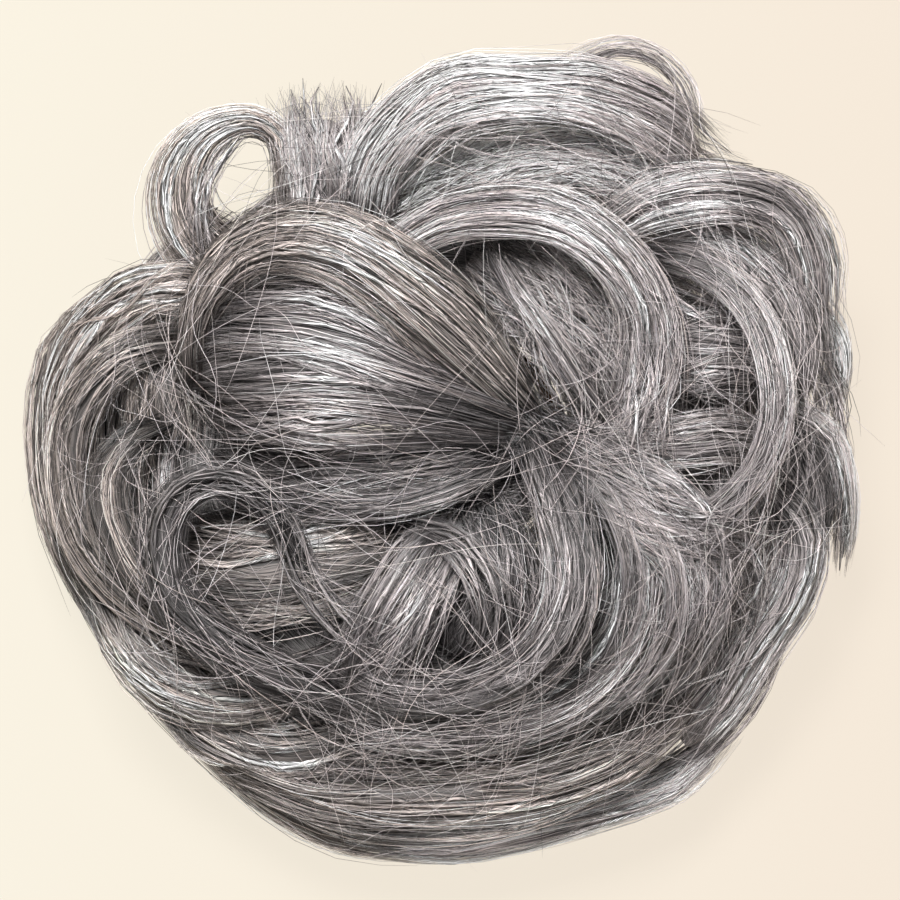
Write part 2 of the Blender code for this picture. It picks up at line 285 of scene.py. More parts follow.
class Graph:
    """The node tree of one material, with a Principled shader."""

    def __init__(self, name: str) -> None:
        """Makes the material and keeps its shader.

        Args:
            name: the material's name.
        """
        self.material = bpy.data.materials.new(name)
        self.material.use_nodes = True
        self.tree = self.material.node_tree
        self.shader = self.tree.nodes["Principled BSDF"]

    def node(self, kind: str, settings: dict[str, Any], sockets: dict[Any, Any]) -> bpy.types.Node:
        """Adds a node.

        Args:
            kind: the node's type.
            settings: the node's own settings, which are set first.
            sockets: values or links, by the socket's name or number.

        Returns:
            The new node.
        """
        made = self.tree.nodes.new(kind)
        for key, value in settings.items():
            setattr(made, key, value)
        for key, value in sockets.items():
            self.feed(made.inputs[key], value)
        return made

    def feed(self, socket: bpy.types.NodeSocket, value: Any) -> None:
        """Sets or links one socket.

        Args:
            socket: the input to set.
            value: a number, a tuple, a Value or an output socket.
        """
        if isinstance(value, Value):
            value = value.socket
        if isinstance(value, bpy.types.NodeSocket):
            self.tree.links.new(value, socket)
        else:
            socket.default_value = value

    def value(self, node: bpy.types.Node, output: Any = 0) -> Value:
        """One output of a node as a Value."""
        return Value(self, node.outputs[output])

    def vector(self, operation: str, sockets: dict[Any, Any]) -> bpy.types.NodeSocket:
        """The result of a Vector Math node."""
        return self.node("ShaderNodeVectorMath", {"operation": operation}, sockets).outputs[0]

    def mix(self, factor: Value, first: Colour, second: Colour) -> bpy.types.NodeSocket:
        """The result of mixing two colours."""
        return self.node("ShaderNodeMix", {"data_type": "RGBA"}, {0: factor, 6: first, 7: second}).outputs[2]

    def bump(self, height: Value, distance: float) -> bpy.types.NodeSocket:
        """The normal of a relief so many metres high."""
        sockets = {"Height": height, "Strength": 0.8, "Distance": distance}
        return self.node("ShaderNodeBump", {}, sockets).outputs[0]

    def object_place(self) -> bpy.types.NodeSocket:
        """The place on the piece's own axes."""
        return self.node("ShaderNodeTexCoord", {}, {}).outputs["Object"]

    def shade(self, **sockets: Any) -> None:
        """Sets the shader's sockets, whose names have underscores for spaces."""
        for key, value in sockets.items():
            self.feed(self.shader.inputs[key.replace("_", " ")], value)


@dataclass(frozen=True)
class HairFinish:
    """Glossy synthetic fibre: each strand's colour with its painted highlight and shade, and fine streaks on
    the mass under the strands.

    Attributes:
        roughness: of the fibre.
        fibres: streaks in a millimetre across a lock.
        run: breaks of a streak in a millimetre along it.
        wander: how far a streak wanders across the lock, in millimetres.
        contrast: of the streaks, over their middle tone.
        relief: height of the streaks.
    """

    roughness: float = 0.36
    fibres: float = 5.5
    run: float = 0.09
    wander: float = 5.0
    contrast: float = 13.0
    relief: float = 0.12 * MM

    def material(self) -> bpy.types.Material:
        """Builds the material.

        Returns:
            The material, which reads the piece's colour attribute and its lock map.
        """
        graph = Graph("hair")
        strand = graph.node("ShaderNodeAttribute", {"attribute_name": COLOUR}, {})
        mass = graph.value(strand, "Alpha")
        along = graph.node("ShaderNodeUVMap", {"uv_map": LOCK_UV}, {}).outputs[0]
        bend = graph.node("ShaderNodeTexNoise", {}, {"Vector": along, "Scale": 0.12, "Detail": 1.0})
        bent = graph.vector("MULTIPLY_ADD", {0: bend.outputs["Color"], 1: (self.wander, 0, 0), 2: along})
        stretched = graph.vector("MULTIPLY", {0: bent, 1: (self.fibres, self.run, 1)})
        noise = {"Vector": stretched, "Scale": 1.0, "Detail": 2.0, "Roughness": 0.6}
        streak = graph.value(graph.node("ShaderNodeTexNoise", {}, noise), "Fac")
        factor = (1 + mass * (streak - 0.5) * self.contrast).at_least(0.12)
        graph.shade(
            Base_Color=graph.vector("SCALE", {0: strand.outputs["Color"], "Scale": factor}),
            Normal=graph.bump(mass * streak, self.relief), Roughness=self.roughness + 0.3 * mass,
            Specular_IOR_Level=0.6, Coat_Weight=0.12, Coat_Roughness=0.35,
        )
        return graph.material


@dataclass(frozen=True)
class ElasticFinish:
    """Brown covered elastic, knitted round its cord.

    Attributes:
        colour: the yarn's colour.
        dark: its colour between the knit's columns, where the relief dips, as painted shade.
        ribs: knit columns in a millimetre.
        relief: height of the columns.
        roughness: of the yarn.
    """

    colour: Colour = (0.2, 0.105, 0.045, 1)
    dark: Colour = (0.06, 0.03, 0.015, 1)
    ribs: float = 1.4
    relief: float = 0.3 * MM
    roughness: float = 0.8

    def material(self) -> bpy.types.Material:
        """Builds the material, which reads Object coordinates."""
        graph = Graph("elastic")
        sockets = {"Vector": graph.object_place(), "Scale": self.ribs / MM}
        cell = graph.value(graph.node("ShaderNodeTexVoronoi", {}, sockets), "Distance")
        # Darker where the relief dips between the knit's columns: painted shade
        graph.shade(
            Base_Color=graph.mix(cell * 1.4, self.colour, self.dark),
            Normal=graph.bump(1 - cell, self.relief), Roughness=self.roughness + 0.1 * cell,
        )
        return graph.material


@dataclass(frozen=True)
class FloorFinish:
    """The pale cream surface that the hairpiece lies on.

    Attributes:
        left: colour at the photograph's left edge.
        right: colour at its right edge.
        glow: share of the floor's brightness that is its own, which keeps its shadows faint.
        diffuse: share of the light on it that it sends back.
    """

    left: Colour = (0.955, 0.893, 0.765, 1)
    right: Colour = (0.92, 0.82, 0.7, 1)
    glow: float = 0.9
    diffuse: float = 0.055

    def material(self) -> bpy.types.Material:
        """Builds the material, which fades from left to right."""
        graph = Graph("floor")
        parts = graph.node("ShaderNodeSeparateXYZ", {}, {0: graph.object_place()})
        across = graph.value(parts, "X") * (1 / (PHOTO_PIXELS * PIXEL)) + 0.5
        colour = graph.mix(across, self.left, self.right)
        graph.shade(
            Base_Color=graph.vector("SCALE", {0: colour, "Scale": self.diffuse}), Roughness=0.9,
            Specular_IOR_Level=0.0, Emission_Color=colour, Emission_Strength=self.glow,
        )
        return graph.material


class Route:
    """A lock's middle line, with its width, its thickness and the way its section faces."""

    def __init__(self, stations: Iterable[Station], thick: float, slant: float, origin: np.ndarray) -> None:
        """Reads a smooth curve through the stations.

        Args:
            stations: x, y, z and width of the lock, in millimetres from the band's middle.
            thick: the lock's thickness, in millimetres.
            slant: roll of its section about its length, in radians.
            origin: the band's middle, in metres.
        """
        rows = np.array(list(stations), float)
        padded = np.vstack([2 * rows[0] - rows[1], rows, 2 * rows[-1] - rows[-2]])
        position = np.linspace(0, len(rows) - 1, 24 * (len(rows) - 1) + 1)
        index = np.minimum(position.astype(int), len(rows) - 2)
        t = (position - index)[:, None]
        before, start, end, after = (padded[index + step] for step in range(4))
        smooth = 0.5 * (
            2 * start + (end - before) * t + (2 * before - 5 * start + 4 * end - after) * t**2
            + (3 * start - before - 3 * end + after) * t**3
        )
        self.points = smooth[:, :3] * MM + origin
        self.widths = np.maximum(smooth[:, 3], 0.5) * MM
        self.thick = thick * MM
        steps = np.linalg.norm(np.diff(self.points, axis=0), axis=1)
        self.length = float(steps.sum())
        self.along = np.concatenate([[0], np.cumsum(steps)]) / self.length
        self.tangents = np.gradient(self.points, self.along, axis=0)
        self.tangents /= np.linalg.norm(self.tangents, axis=1, keepdims=True)
        level = np.cross([0.0, 0.0, 1.0], self.tangents)
        level /= np.linalg.norm(level, axis=1, keepdims=True)
        upright = np.cross(self.tangents, level)
        self.across = level * math.cos(slant) + upright * math.sin(slant)
        self.up = np.cross(self.tangents, self.across)

    @property
    def turning(self) -> float:
        """How far the route turns over its length, in radians."""
        cosines = (self.tangents[1:] * self.tangents[:-1]).sum(axis=1)
        return float(np.arccos(np.clip(cosines, -1, 1)).sum())

    def _read(self, values: np.ndarray, t: np.ndarray) -> np.ndarray:
        """Values along the route, read between its own points."""
        if values.ndim == 1:
            return np.interp(t, self.along, values)
        return np.stack([np.interp(t, self.along, column) for column in values.T], axis=-1)

    def place(self, t: np.ndarray, a: np.ndarray, b: np.ndarray) -> np.ndarray:
        """Points in the lock.

        Args:
            t: share of the length, which may run a little past 0 and 1.
            a: place across the lock, from -1 to 1.
            b: place through the lock, from -1 at its underside to 1.

        Returns:
            Points, with one more axis than t.
        """
        inside = np.clip(t, 0, 1)
        past = ((t - inside) * self.length)[..., None]
        points = self._read(self.points, inside) + self._read(self.tangents, inside) * past
        wide = (a * self._read(self.widths, inside) / 2)[..., None]
        deep = (b * self.thick / 2)[..., None]
        return points + self._read(self.across, inside) * wide + self._read(self.up, inside) * deep

    def outward(self, t: np.ndarray, a: np.ndarray, b: np.ndarray) -> np.ndarray:
        """The way out of the lock at places in it, read as place reads them."""
        inside = np.clip(t, 0, 1)
        wide = (a / self._read(self.widths, inside))[..., None]
        deep = (b / self.thick)[..., None]
        return self._read(self.across, inside) * wide + self._read(self.up, inside) * deep


@dataclass
class Strands:
    """Strands that are laid but not yet meshed: a row for each, a column for each of its points.

    Attributes:
        lines: the points.
        radii: half of the strand's height at each point.
        colours: its colour at each point.
        facing: the way its flat side faces, for a strip of several fibres.
        flatness: how many times wider than high it is.
    """

    lines: np.ndarray
    radii: np.ndarray
    colours: np.ndarray
    facing: np.ndarray | None = None
    flatness: float = 1.0


@dataclass
class StrandMesh:
    """The faces of one piece, gathered part by part before they become its mesh.

    Attributes:
        vertices: the vertices of each part.
        colours: their colours, with an alpha of 1 where the surface has streaks.
        loops: the vertex number of each corner.
        sides: the number of sides of each face.
        lock_map: each corner's place round and along its lock or strand, in millimetres.
        bake_map: each corner's place on the bake map.
        count: number of vertices so far.
        strand_shift: step between the lock maps of two strands, so that no two have the same streaks.
    """

    vertices: list[np.ndarray] = field(default_factory=list)
    colours: list[np.ndarray] = field(default_factory=list)
    loops: list[np.ndarray] = field(default_factory=list)
    sides: list[np.ndarray] = field(default_factory=list)
    lock_map: list[np.ndarray] = field(default_factory=list)
    bake_map: list[np.ndarray] = field(default_factory=list)
    count: int = 0
    strand_shift: float = 7.31

    def _add(self, vertices: np.ndarray, colours: np.ndarray, faces: np.ndarray, maps: tuple) -> None:
        """Adds faces that all have the same number of sides."""
        self.loops.append(faces.reshape(-1))
        self.sides.append(np.full(len(faces), faces.shape[1], np.int32))
        self.lock_map.append(maps[0].reshape(-1, 2))
        self.bake_map.append(maps[1].reshape(-1, 2))
        if len(vertices):
            self.vertices.append(vertices.reshape(-1, 3))
            self.colours.append(colours.reshape(-1, 4))

    def add_strands(self, strands: Strands) -> None:
        """Adds each strand as a closed three-sided tube, flattened where it is a strip.

        Args:
            strands: the strands.
        """
        lines, radii = strands.lines, strands.radii
        count, points = radii.shape
        ahead = np.gradient(lines, axis=1)
        ahead /= np.linalg.norm(ahead, axis=2, keepdims=True) + 1e-12
        side = np.cross(ASIDE if strands.facing is None else strands.facing, ahead)
        side /= np.linalg.norm(side, axis=2, keepdims=True) + 1e-9
        top = np.cross(ahead, side)
        ring = []
        for corner in range(3):
            angle = math.tau * corner / 3 + math.pi / 2
            offset = side * math.cos(angle) * strands.flatness + top * math.sin(angle)
            ring.append(lines + offset * radii[..., None])
        vertices = np.stack(ring, axis=2)
        grid = self.count + np.arange(count * points * 3).reshape(count, points, 3)
        turned = np.roll(grid, -1, axis=2)
        quads = np.stack([grid[:, :-1], turned[:, :-1], turned[:, 1:], grid[:, 1:]], axis=-1)

        # On the bake map each side of a strand is a column of its own
        column = (3 * np.arange(count)[:, None, None] + np.arange(3)) / (3 * count)
        row = STRAND_ROOM * np.arange(points - 1)[:, None] / (points - 1)
        bake = corners(column, column + SIDE_ROOM / (3 * count), row, row + STRAND_ROOM / (points - 1))

        # The lock map unrolls the tube: its corners are so many radii round it
        unrolled = np.array([0.0, 0.9, 2.6, 3.5]) * strands.flatness * float(radii.max()) / MM
        shift = self.strand_shift * np.arange(count)[:, None, None]
        length = np.linalg.norm(np.diff(lines, axis=1), axis=2).cumsum(axis=1)[..., None] / MM + shift
        back = length - length[:, :1] + shift
        fibres = corners(unrolled[:3] + shift, unrolled[1:] + shift, back, length)
        streaked = np.full((count, points, 1), 0.0 if strands.facing is None else 1.0)
        shades = np.concatenate([strands.colours, streaked], axis=-1)
        self._add(vertices, np.repeat(shades[:, :, None], 3, axis=2), quads.reshape(-1, 4), (fibres, bake))

        # A triangle closes each end
        for end, order in ((0, (2, 1, 0)), (points - 1, (0, 1, 2))):
            caps = grid[:, end][:, order]
            spot = np.stack([column[:, 0, :1], np.full((count, 1), 0.79 if end else 0.0)], axis=-1)
            nudge = np.array([[0.0, 0.0], [0.3, 0.0], [0.0, 0.3]]) / (3 * count)
            self._add(np.empty(0), np.empty(0), caps, (np.zeros(caps.shape + (2,)), spot + nudge))
        self.count += count * points * 3

    def add_mass(self, bm: bmesh.types.BMesh, route: Route, colour: np.ndarray, shift: float) -> None:
        """Adds the closed form under a lock's strands, mapped in millimetres round and along the lock.

        Args:
            bm: the form, which is freed.
            route: the lock's middle line.
            colour: its colour.
            shift: start of its map, so that no two locks have the same streaks.
        """
        bmesh.ops.triangulate(bm, faces=bm.faces)
        bm.verts.index_update()
        vertices = np.array([vert.co for vert in bm.verts])
        faces = np.array([[vert.index for vert in face.verts] for face in bm.faces])
        bm.free()
        nearest = ((vertices[:, None] - route.points) ** 2).sum(axis=2).argmin(axis=1)
        offset = vertices - route.points[nearest]
        deep = (offset * route.up[nearest]).sum(axis=1) / route.thick
        wide = (offset * route.across[nearest]).sum(axis=1) / route.widths[nearest]

        # The map's seam runs along the underside
        around = (np.arctan2(deep, wide) / math.tau + 1.25) % 1.0
        places = np.stack([around[faces], route.along[nearest][faces]], axis=-1)
        across_seam = (np.ptp(places[..., 0], axis=1) > 0.5)[:, None] & (places[..., 0] < 0.5)
        places[..., 0] += across_seam
        around_length = 2 * (route.widths.mean() + route.thick)
        girth = places * np.array([around_length, route.length]) / MM + shift
        bake = places * np.array([0.8, 0.18]) + np.array([0.01, 0.81])
        shades = np.tile(np.append(colour, 1.0), (len(vertices), 1))
        self._add(vertices, shades, faces + self.count, (girth, bake))
        self.count += len(vertices)

    def to_object(self, name: str, material: bpy.types.Material) -> bpy.types.Object:
        """Makes the piece.

        Args:
            name: the piece's name.
            material: its finish.

        Returns:
            The object, at the origin.
        """
        vertices = np.concatenate(self.vertices).astype(np.float32)
        loops = np.concatenate(self.loops).astype(np.int32)
        sides = np.concatenate(self.sides)
        mesh = bpy.data.meshes.new(name)
        mesh.vertices.add(len(vertices))
        mesh.loops.add(len(loops))
        mesh.polygons.add(len(sides))
        mesh.vertices.foreach_set("co", vertices.ravel())
        mesh.loops.foreach_set("vertex_index", loops)
        mesh.polygons.foreach_set("loop_start", np.cumsum(sides) - sides)
        mesh.update(calc_edges=True)
        for title, rows in ((LOCK_UV, self.lock_map), (BAKE_UV, self.bake_map)):
            layer = mesh.uv_layers.new(name=title)
            layer.uv.foreach_set("vector", np.concatenate(rows).astype(np.float32).ravel())
        shades = mesh.attributes.new(COLOUR, "FLOAT_COLOR", "POINT")
        shades.data.foreach_set("color", np.concatenate(self.colours).astype(np.float32).ravel())
        mesh.shade_smooth()
        mesh.materials.append(material)
        return link(name, mesh)


@dataclass
class Lock:
    """One curled lock: a streaked mass with strands laid over it in clumps.

    Attributes:
        name: name of the lock, and of the CAD node that it stands for.
        shade: mix of its strands.
        thick: its thickness, in millimetres.
        stations: x, y, z and width along it, in millimetres from the band's middle.
        slant: roll of its section about its length.
        tone: brightness over that of its mix: partly the lock's own tone, partly painted light and shade for
            where it lies.
        fullness: strands for each millimetre of its width and half its thickness.
        frizz: how far its strands wander, as a share of its section.
        spread: how much its strands cross each other.
        sway: how far each clump wanders from its own place in the section.
        banding: how much lighter or darker a clump is than the next.
        gleam: how much lighter the lock is where it lies level, as a painted highlight.
        loose: share of strands that stand off the lock and cross its neighbours.
        girth: strand radius, in millimetres.
        strips: flat strips of fibres for each millimetre, as for its fullness.
        solid: share of its length with a mass under its strands.
        tuck: length that darkens at its start and its end, painted shade where it dives under other locks.
        lights: painted highlights and shades: share of its length, reach as such a share, gain.
        core: size of the mass over that of the lock.
        under: brightness of the mass over that of the strands, kept low as painted shade under them.
        map_shift: step between the lock maps of two masses.
    """

    name: str
    shade: Shade
    thick: float
    stations: list[Station]
    slant: float = 0.0
    tone: float = 1.0
    fullness: float = 12.5
    frizz: float = 0.065
    spread: float = 0.18
    sway: float = 0.13
    banding: float = 0.4
    gleam: float = 0.9
    loose: float = 0.15
    girth: float = 0.058
    strips: float = 1.7
    solid: float = 1.0
    tuck: tuple[float, float] = (14.0, 14.0)
    lights: tuple[tuple[float, float, float], ...] = ()
    core: float = 0.78
    under: float = 0.3
    map_shift: float = 37.0

    def route(self, origin: np.ndarray) -> Route:
        """The lock's middle line, from the band's middle."""
        return Route(self.stations, self.thick, self.slant, origin)

    def mass(self, route: Route, scale: float) -> bmesh.types.BMesh:
        """Sweeps a round section along the route.

        Args:
            route: the lock's middle line.
            scale: size of the mass over that of the lock.

        Returns:
            The closed form.
        """
        rings = max(8, round(route.turning / RING_TURN), round(route.length / (6 * MM)))
        shares = np.linspace(0, self.solid, rings + 1)
        sizes = scale * np.minimum(1, 0.35 + 6 * np.minimum(shares, self.solid - shares))
        bm = bmesh.new()
        placed = None
        edges: list[bmesh.types.BMEdge] = []
        for share, size in zip(shares, sizes):
            middle, wide, deep = route.place(np.full(3, share), size * np.eye(3)[1], size * np.eye(3)[2])
            wide, deep = wide - middle, deep - middle
            ahead = np.cross(wide, deep)
            ahead = ahead / np.linalg.norm(ahead) * MM
            matrix = Matrix([*np.stack([wide, deep, ahead, middle], axis=1).tolist(), [0, 0, 0, 1]])
            if placed is None:
                bmesh.ops.create_circle(bm, cap_ends=True, segments=14, radius=1, matrix=matrix)
                edges = list(bm.edges)
            else:
                made = bmesh.ops.extrude_edge_only(bm, edges=edges)["geom"]
                verts = [item for item in made if isinstance(item, bmesh.types.BMVert)]
                sides = [item for item in made if isinstance(item, bmesh.types.BMEdge)]
                edges = [edge for edge in sides if set(verts).issuperset(edge.verts)]
                bmesh.ops.transform(bm, matrix=matrix @ placed.inverted(), verts=verts)
            placed = matrix
        bmesh.ops.contextual_create(bm, geom=edges)
        bmesh.ops.recalc_face_normals(bm, faces=bm.faces)
        return bm

    def number(self, route: Route, strip: bool) -> int:
        """Number of strands or strips, from the size of the lock's section."""
        dense = self.strips * (1 if self.solid else 0.4) if strip else self.fullness
        return max(4, round(dense * (route.widths.mean() / MM + 0.5 * self.thick)))

    def painted_sheen(self, route: Route, lines: np.ndarray, t: np.ndarray) -> np.ndarray:
        """Painted light on the strands: painted shade where they dive under other locks, painted highlight
        where they lie level.

        Args:
            route: the lock's middle line.
            lines: the strands' points.
            t: share of the lock's length at each point.

        Returns:
            The painted brightness at each point.
        """
        # Painted shade: darker towards the lock's start and end, where it dives under other locks
        painted_shade = np.minimum(t * route.length / self.tuck[0], (1 - t) * route.length / self.tuck[1]) / MM
        ahead = np.gradient(lines, axis=1)
        rise = ahead[..., 2] / (np.linalg.norm(ahead, axis=2) + 1e-9)
        # Painted highlight where a strand lies level, then the lock's own painted highlights and shades
        painted_light = 0.64 + self.gleam * np.exp(-((rise / 0.16) ** 2))
        for middle, reach, gain in self.lights:
            painted_light = np.maximum(painted_light + gain * np.exp(-(((t - middle) / reach) ** 2)), 0.15)
        return painted_light * np.clip(0.35 + 0.65 * painted_shade, 0.2, 1)

    def strands(self, route: Route, rng: np.random.Generator, strip: bool) -> Strands:
        """Lays the strands along the lock, gathered in clumps that tighten at its ends.

        Args:
            route: the lock's middle line.
            rng: source of the random draws.
            strip: whether these are its flat strips.

        Returns:
            The strands.
        """
        count = self.number(route, strip)
        spans = int(np.clip(round(max(route.turning / RING_TURN, route.length / SPAN_LENGTH)), *SPANS))
        step = np.linspace(0, 1, spans + 1)

        # Most strands lie on the upper side; loose ones stand off it
        upper = rng.random(count) < 0.78
        above, below = rng.uniform(-0.1, math.pi + 0.1, count), rng.uniform(math.pi, math.tau, count)
        angle = np.where(upper, above, below)
        loose = rng.random(count) < (0.0 if strip else self.loose)
        deepest, highest = (0.8, 0.98) if strip else (0.9, 1.1)
        depth = np.where(loose, rng.uniform(1.0, 1.35, count), rng.uniform(deepest, highest, count))
        wild = np.where(loose, 2.2, 1.0)[:, None]

        # Each is drawn to the nearest clump round the section, most at the lock's ends; some end short
        clumps = max(6, round((float(route.widths.mean() / MM) + self.thick) / 0.9))
        clump_angle = rng.uniform(0, math.tau, clumps)
        member = np.abs(np.angle(np.exp(1j * (angle[:, None] - clump_angle)))).argmin(axis=1)
        start = rng.uniform(-0.03, 0.05, count)
        short = rng.random(count) < 0.2
        stop = np.where(short, rng.uniform(0.6, 0.95, count), rng.uniform(0.92, 1.05, count))
        t = start[:, None] + (stop - start)[:, None] * step
        pull = np.where(loose, 0.15, 1.0)[:, None] * (0.35 + 0.4 * (2 * t - 1) ** 2)
        feather = np.where(rng.random(count) < 0.25, rng.uniform(1.0, 1.25, count), 1.0)
        section = np.stack([np.cos(angle), np.sin(angle)]) * depth * np.stack([feather, 2 - feather])
        clump = np.stack([np.cos(clump_angle), np.sin(clump_angle)]) * rng.uniform(0.9, 1.16, clumps)
        place = section[..., None] * (1 - pull) + clump[:, member, None] * pull

        # Clumps sway, and strands cross each other and wave
        sway = rng.normal(0, self.sway, (2, clumps, 1))[:, member]
        turns, first = rng.uniform(0.5, 1.6, (clumps, 1))[member], rng.random((clumps, 1))[member]
        place = place + sway * waves(t, turns, first)
        drift = rng.normal(0, self.spread, (2, count, 1)) * (2 * t - 1) * wild
        wave = waves(t, rng.uniform(0.5, 1.7, (2, count, 1)), rng.random((2, count, 1)))
        place = place + drift * np.array([1.0, 0.4])[:, None, None]
        place = place + rng.normal(0, self.frizz, (2, count, 1)) * wild * wave
        lines = route.place(t, 0.94 * place[0], place[1])
        lines[..., 2] = np.maximum(lines[..., 2], FLOOR_GAP)
        radii = self.girth * MM * rng.uniform(0.7, 1.4, (count, 1)) * taper(step, 0.45)

        # Its colour, from its clump and its own mix, with painted highlight where it lies level and painted
        # shade where it dives under other locks
        light = self.tone * (0.95 + self.banding * rng.uniform(-1, 1, clumps)[member])[:, None]
        light = light * (1 + 0.14 * waves(t, rng.uniform(0.5, 1.5, (count, 1)), rng.random((count, 1))))
        light = light * self.painted_sheen(route, lines, t)
        mix = MIXES[self.shade]
        colours = mix.colours(rng, count)
        if not strip:
            return Strands(lines, radii, np.clip(colours[:, None] * light[..., None], 0, STRAND_WHITE))
        colours = mix.middle() * rng.uniform(0.45, 1.0, (count, 1))
        colours = np.clip(colours[:, None] * light[..., None], 0, STRIP_WHITE)
        return Strands(lines, radii, colours, route.outward(t, place[0], place[1]), STRIP_FLATNESS)

    def dress(
        self, origin: np.ndarray, material: bpy.types.Material, seed: int, surface: "Surface"
    ) -> bpy.types.Object:
        """Builds the lock's piece.

        Args:
            origin: the band's middle.
            material: the hair finish.
            seed: the lock's own random seed.
            surface: the upper side of all the hair.

        Returns:
            The piece, in place of its CAD node.
        """
        rng = np.random.default_rng(seed)
        route = self.route(origin)
        gathered = StrandMesh()
        if self.solid:
            # The mass is darker than the strands, as painted shade under them
            under = self.under * self.tone * MIXES[self.shade].middle()
            gathered.add_mass(self.mass(route, self.core), route, under, self.map_shift * seed)
        for strip in (True, False):
            gathered.add_strands(surface.shown(self.strands(route, rng, strip)))
        return gathered.to_object(f"{self.name}_hair", material)


@dataclass
class Surface:
    """The height of the hair's upper side, read from the locks' routes.

    Attributes:
        points: points along the middle of each lock's upper side.
        reach: half of the lock's width at each point.
        middle: the band's middle.
        cover: depth under the surface from which nothing is seen from outside.
        inner: distance from the middle up to which the bun's hollow shows the hair from below.
        outer: distance from which the sides show it.
        steep: fall of the surface past a lock's edge, where strands are hidden under it.
        gentle: its fall there, where strays lie on it.
        chunk: number of places read at once.
    """

    points: np.ndarray
    reach: np.ndarray
    middle: np.ndarray
    cover: float = 9.5 * MM
    inner: float = 26 * MM
    outer: float = 49 * MM
    steep: float = 6.0
    gentle: float = 1.1
    chunk: int = 4096

    @classmethod
    def over(cls, routes: list[Route], middle: np.ndarray) -> "Surface":
        """Reads the surface over all the routes."""
        spots = [route.points[::6] + route.up[::6] * route.thick / 2 for route in routes]
        reach = [route.widths[::6] / 2 for route in routes]
        return cls(np.concatenate(spots), np.concatenate(reach), middle)

    def shown(self, strands: Strands) -> Strands:
        """Leaves out the strands that are wholly under other locks.

        Args:
            strands: some strands.

        Returns:
            Those that can be seen.
        """
        level = strands.lines[..., :2]
        depth = self.read(level, self.steep)[0] - strands.lines[..., 2]
        away = np.linalg.norm(level - self.middle[:2], axis=-1)
        seen = ~((depth > self.cover) & (away > self.inner) & (away < self.outer)).all(axis=1)
        facing = None if strands.facing is None else strands.facing[seen]
        lines, radii, colours = strands.lines[seen], strands.radii[seen], strands.colours[seen]
        return Strands(lines, radii, colours, facing, strands.flatness)

    def read(self, level: np.ndarray, steepness: float) -> tuple[np.ndarray, np.ndarray]:
        """The surface's height at each place, and how far the place is past the nearest lock.

        Args:
            level: x and y of each place, in metres.
            steepness: fall of the surface past a lock's edge.

        Returns:
            The height and the distance of each.
        """
        flat = level.reshape(-1, 2)
        height, outside = np.empty(len(flat)), np.empty(len(flat))
        for first in range(0, len(flat), self.chunk):
            part = slice(first, first + self.chunk)
            away = np.linalg.norm(flat[part, None] - self.points[:, :2], axis=2)
            past = np.maximum(away - self.reach, 0)
            fall = steepness * past + 0.12 * np.minimum(away, self.reach)
            height[part] = (self.points[:, 2] - fall).max(axis=1)
            outside[part] = past.min(axis=1)
        return height.reshape(level.shape[:-1]), outside.reshape(level.shape[:-1])


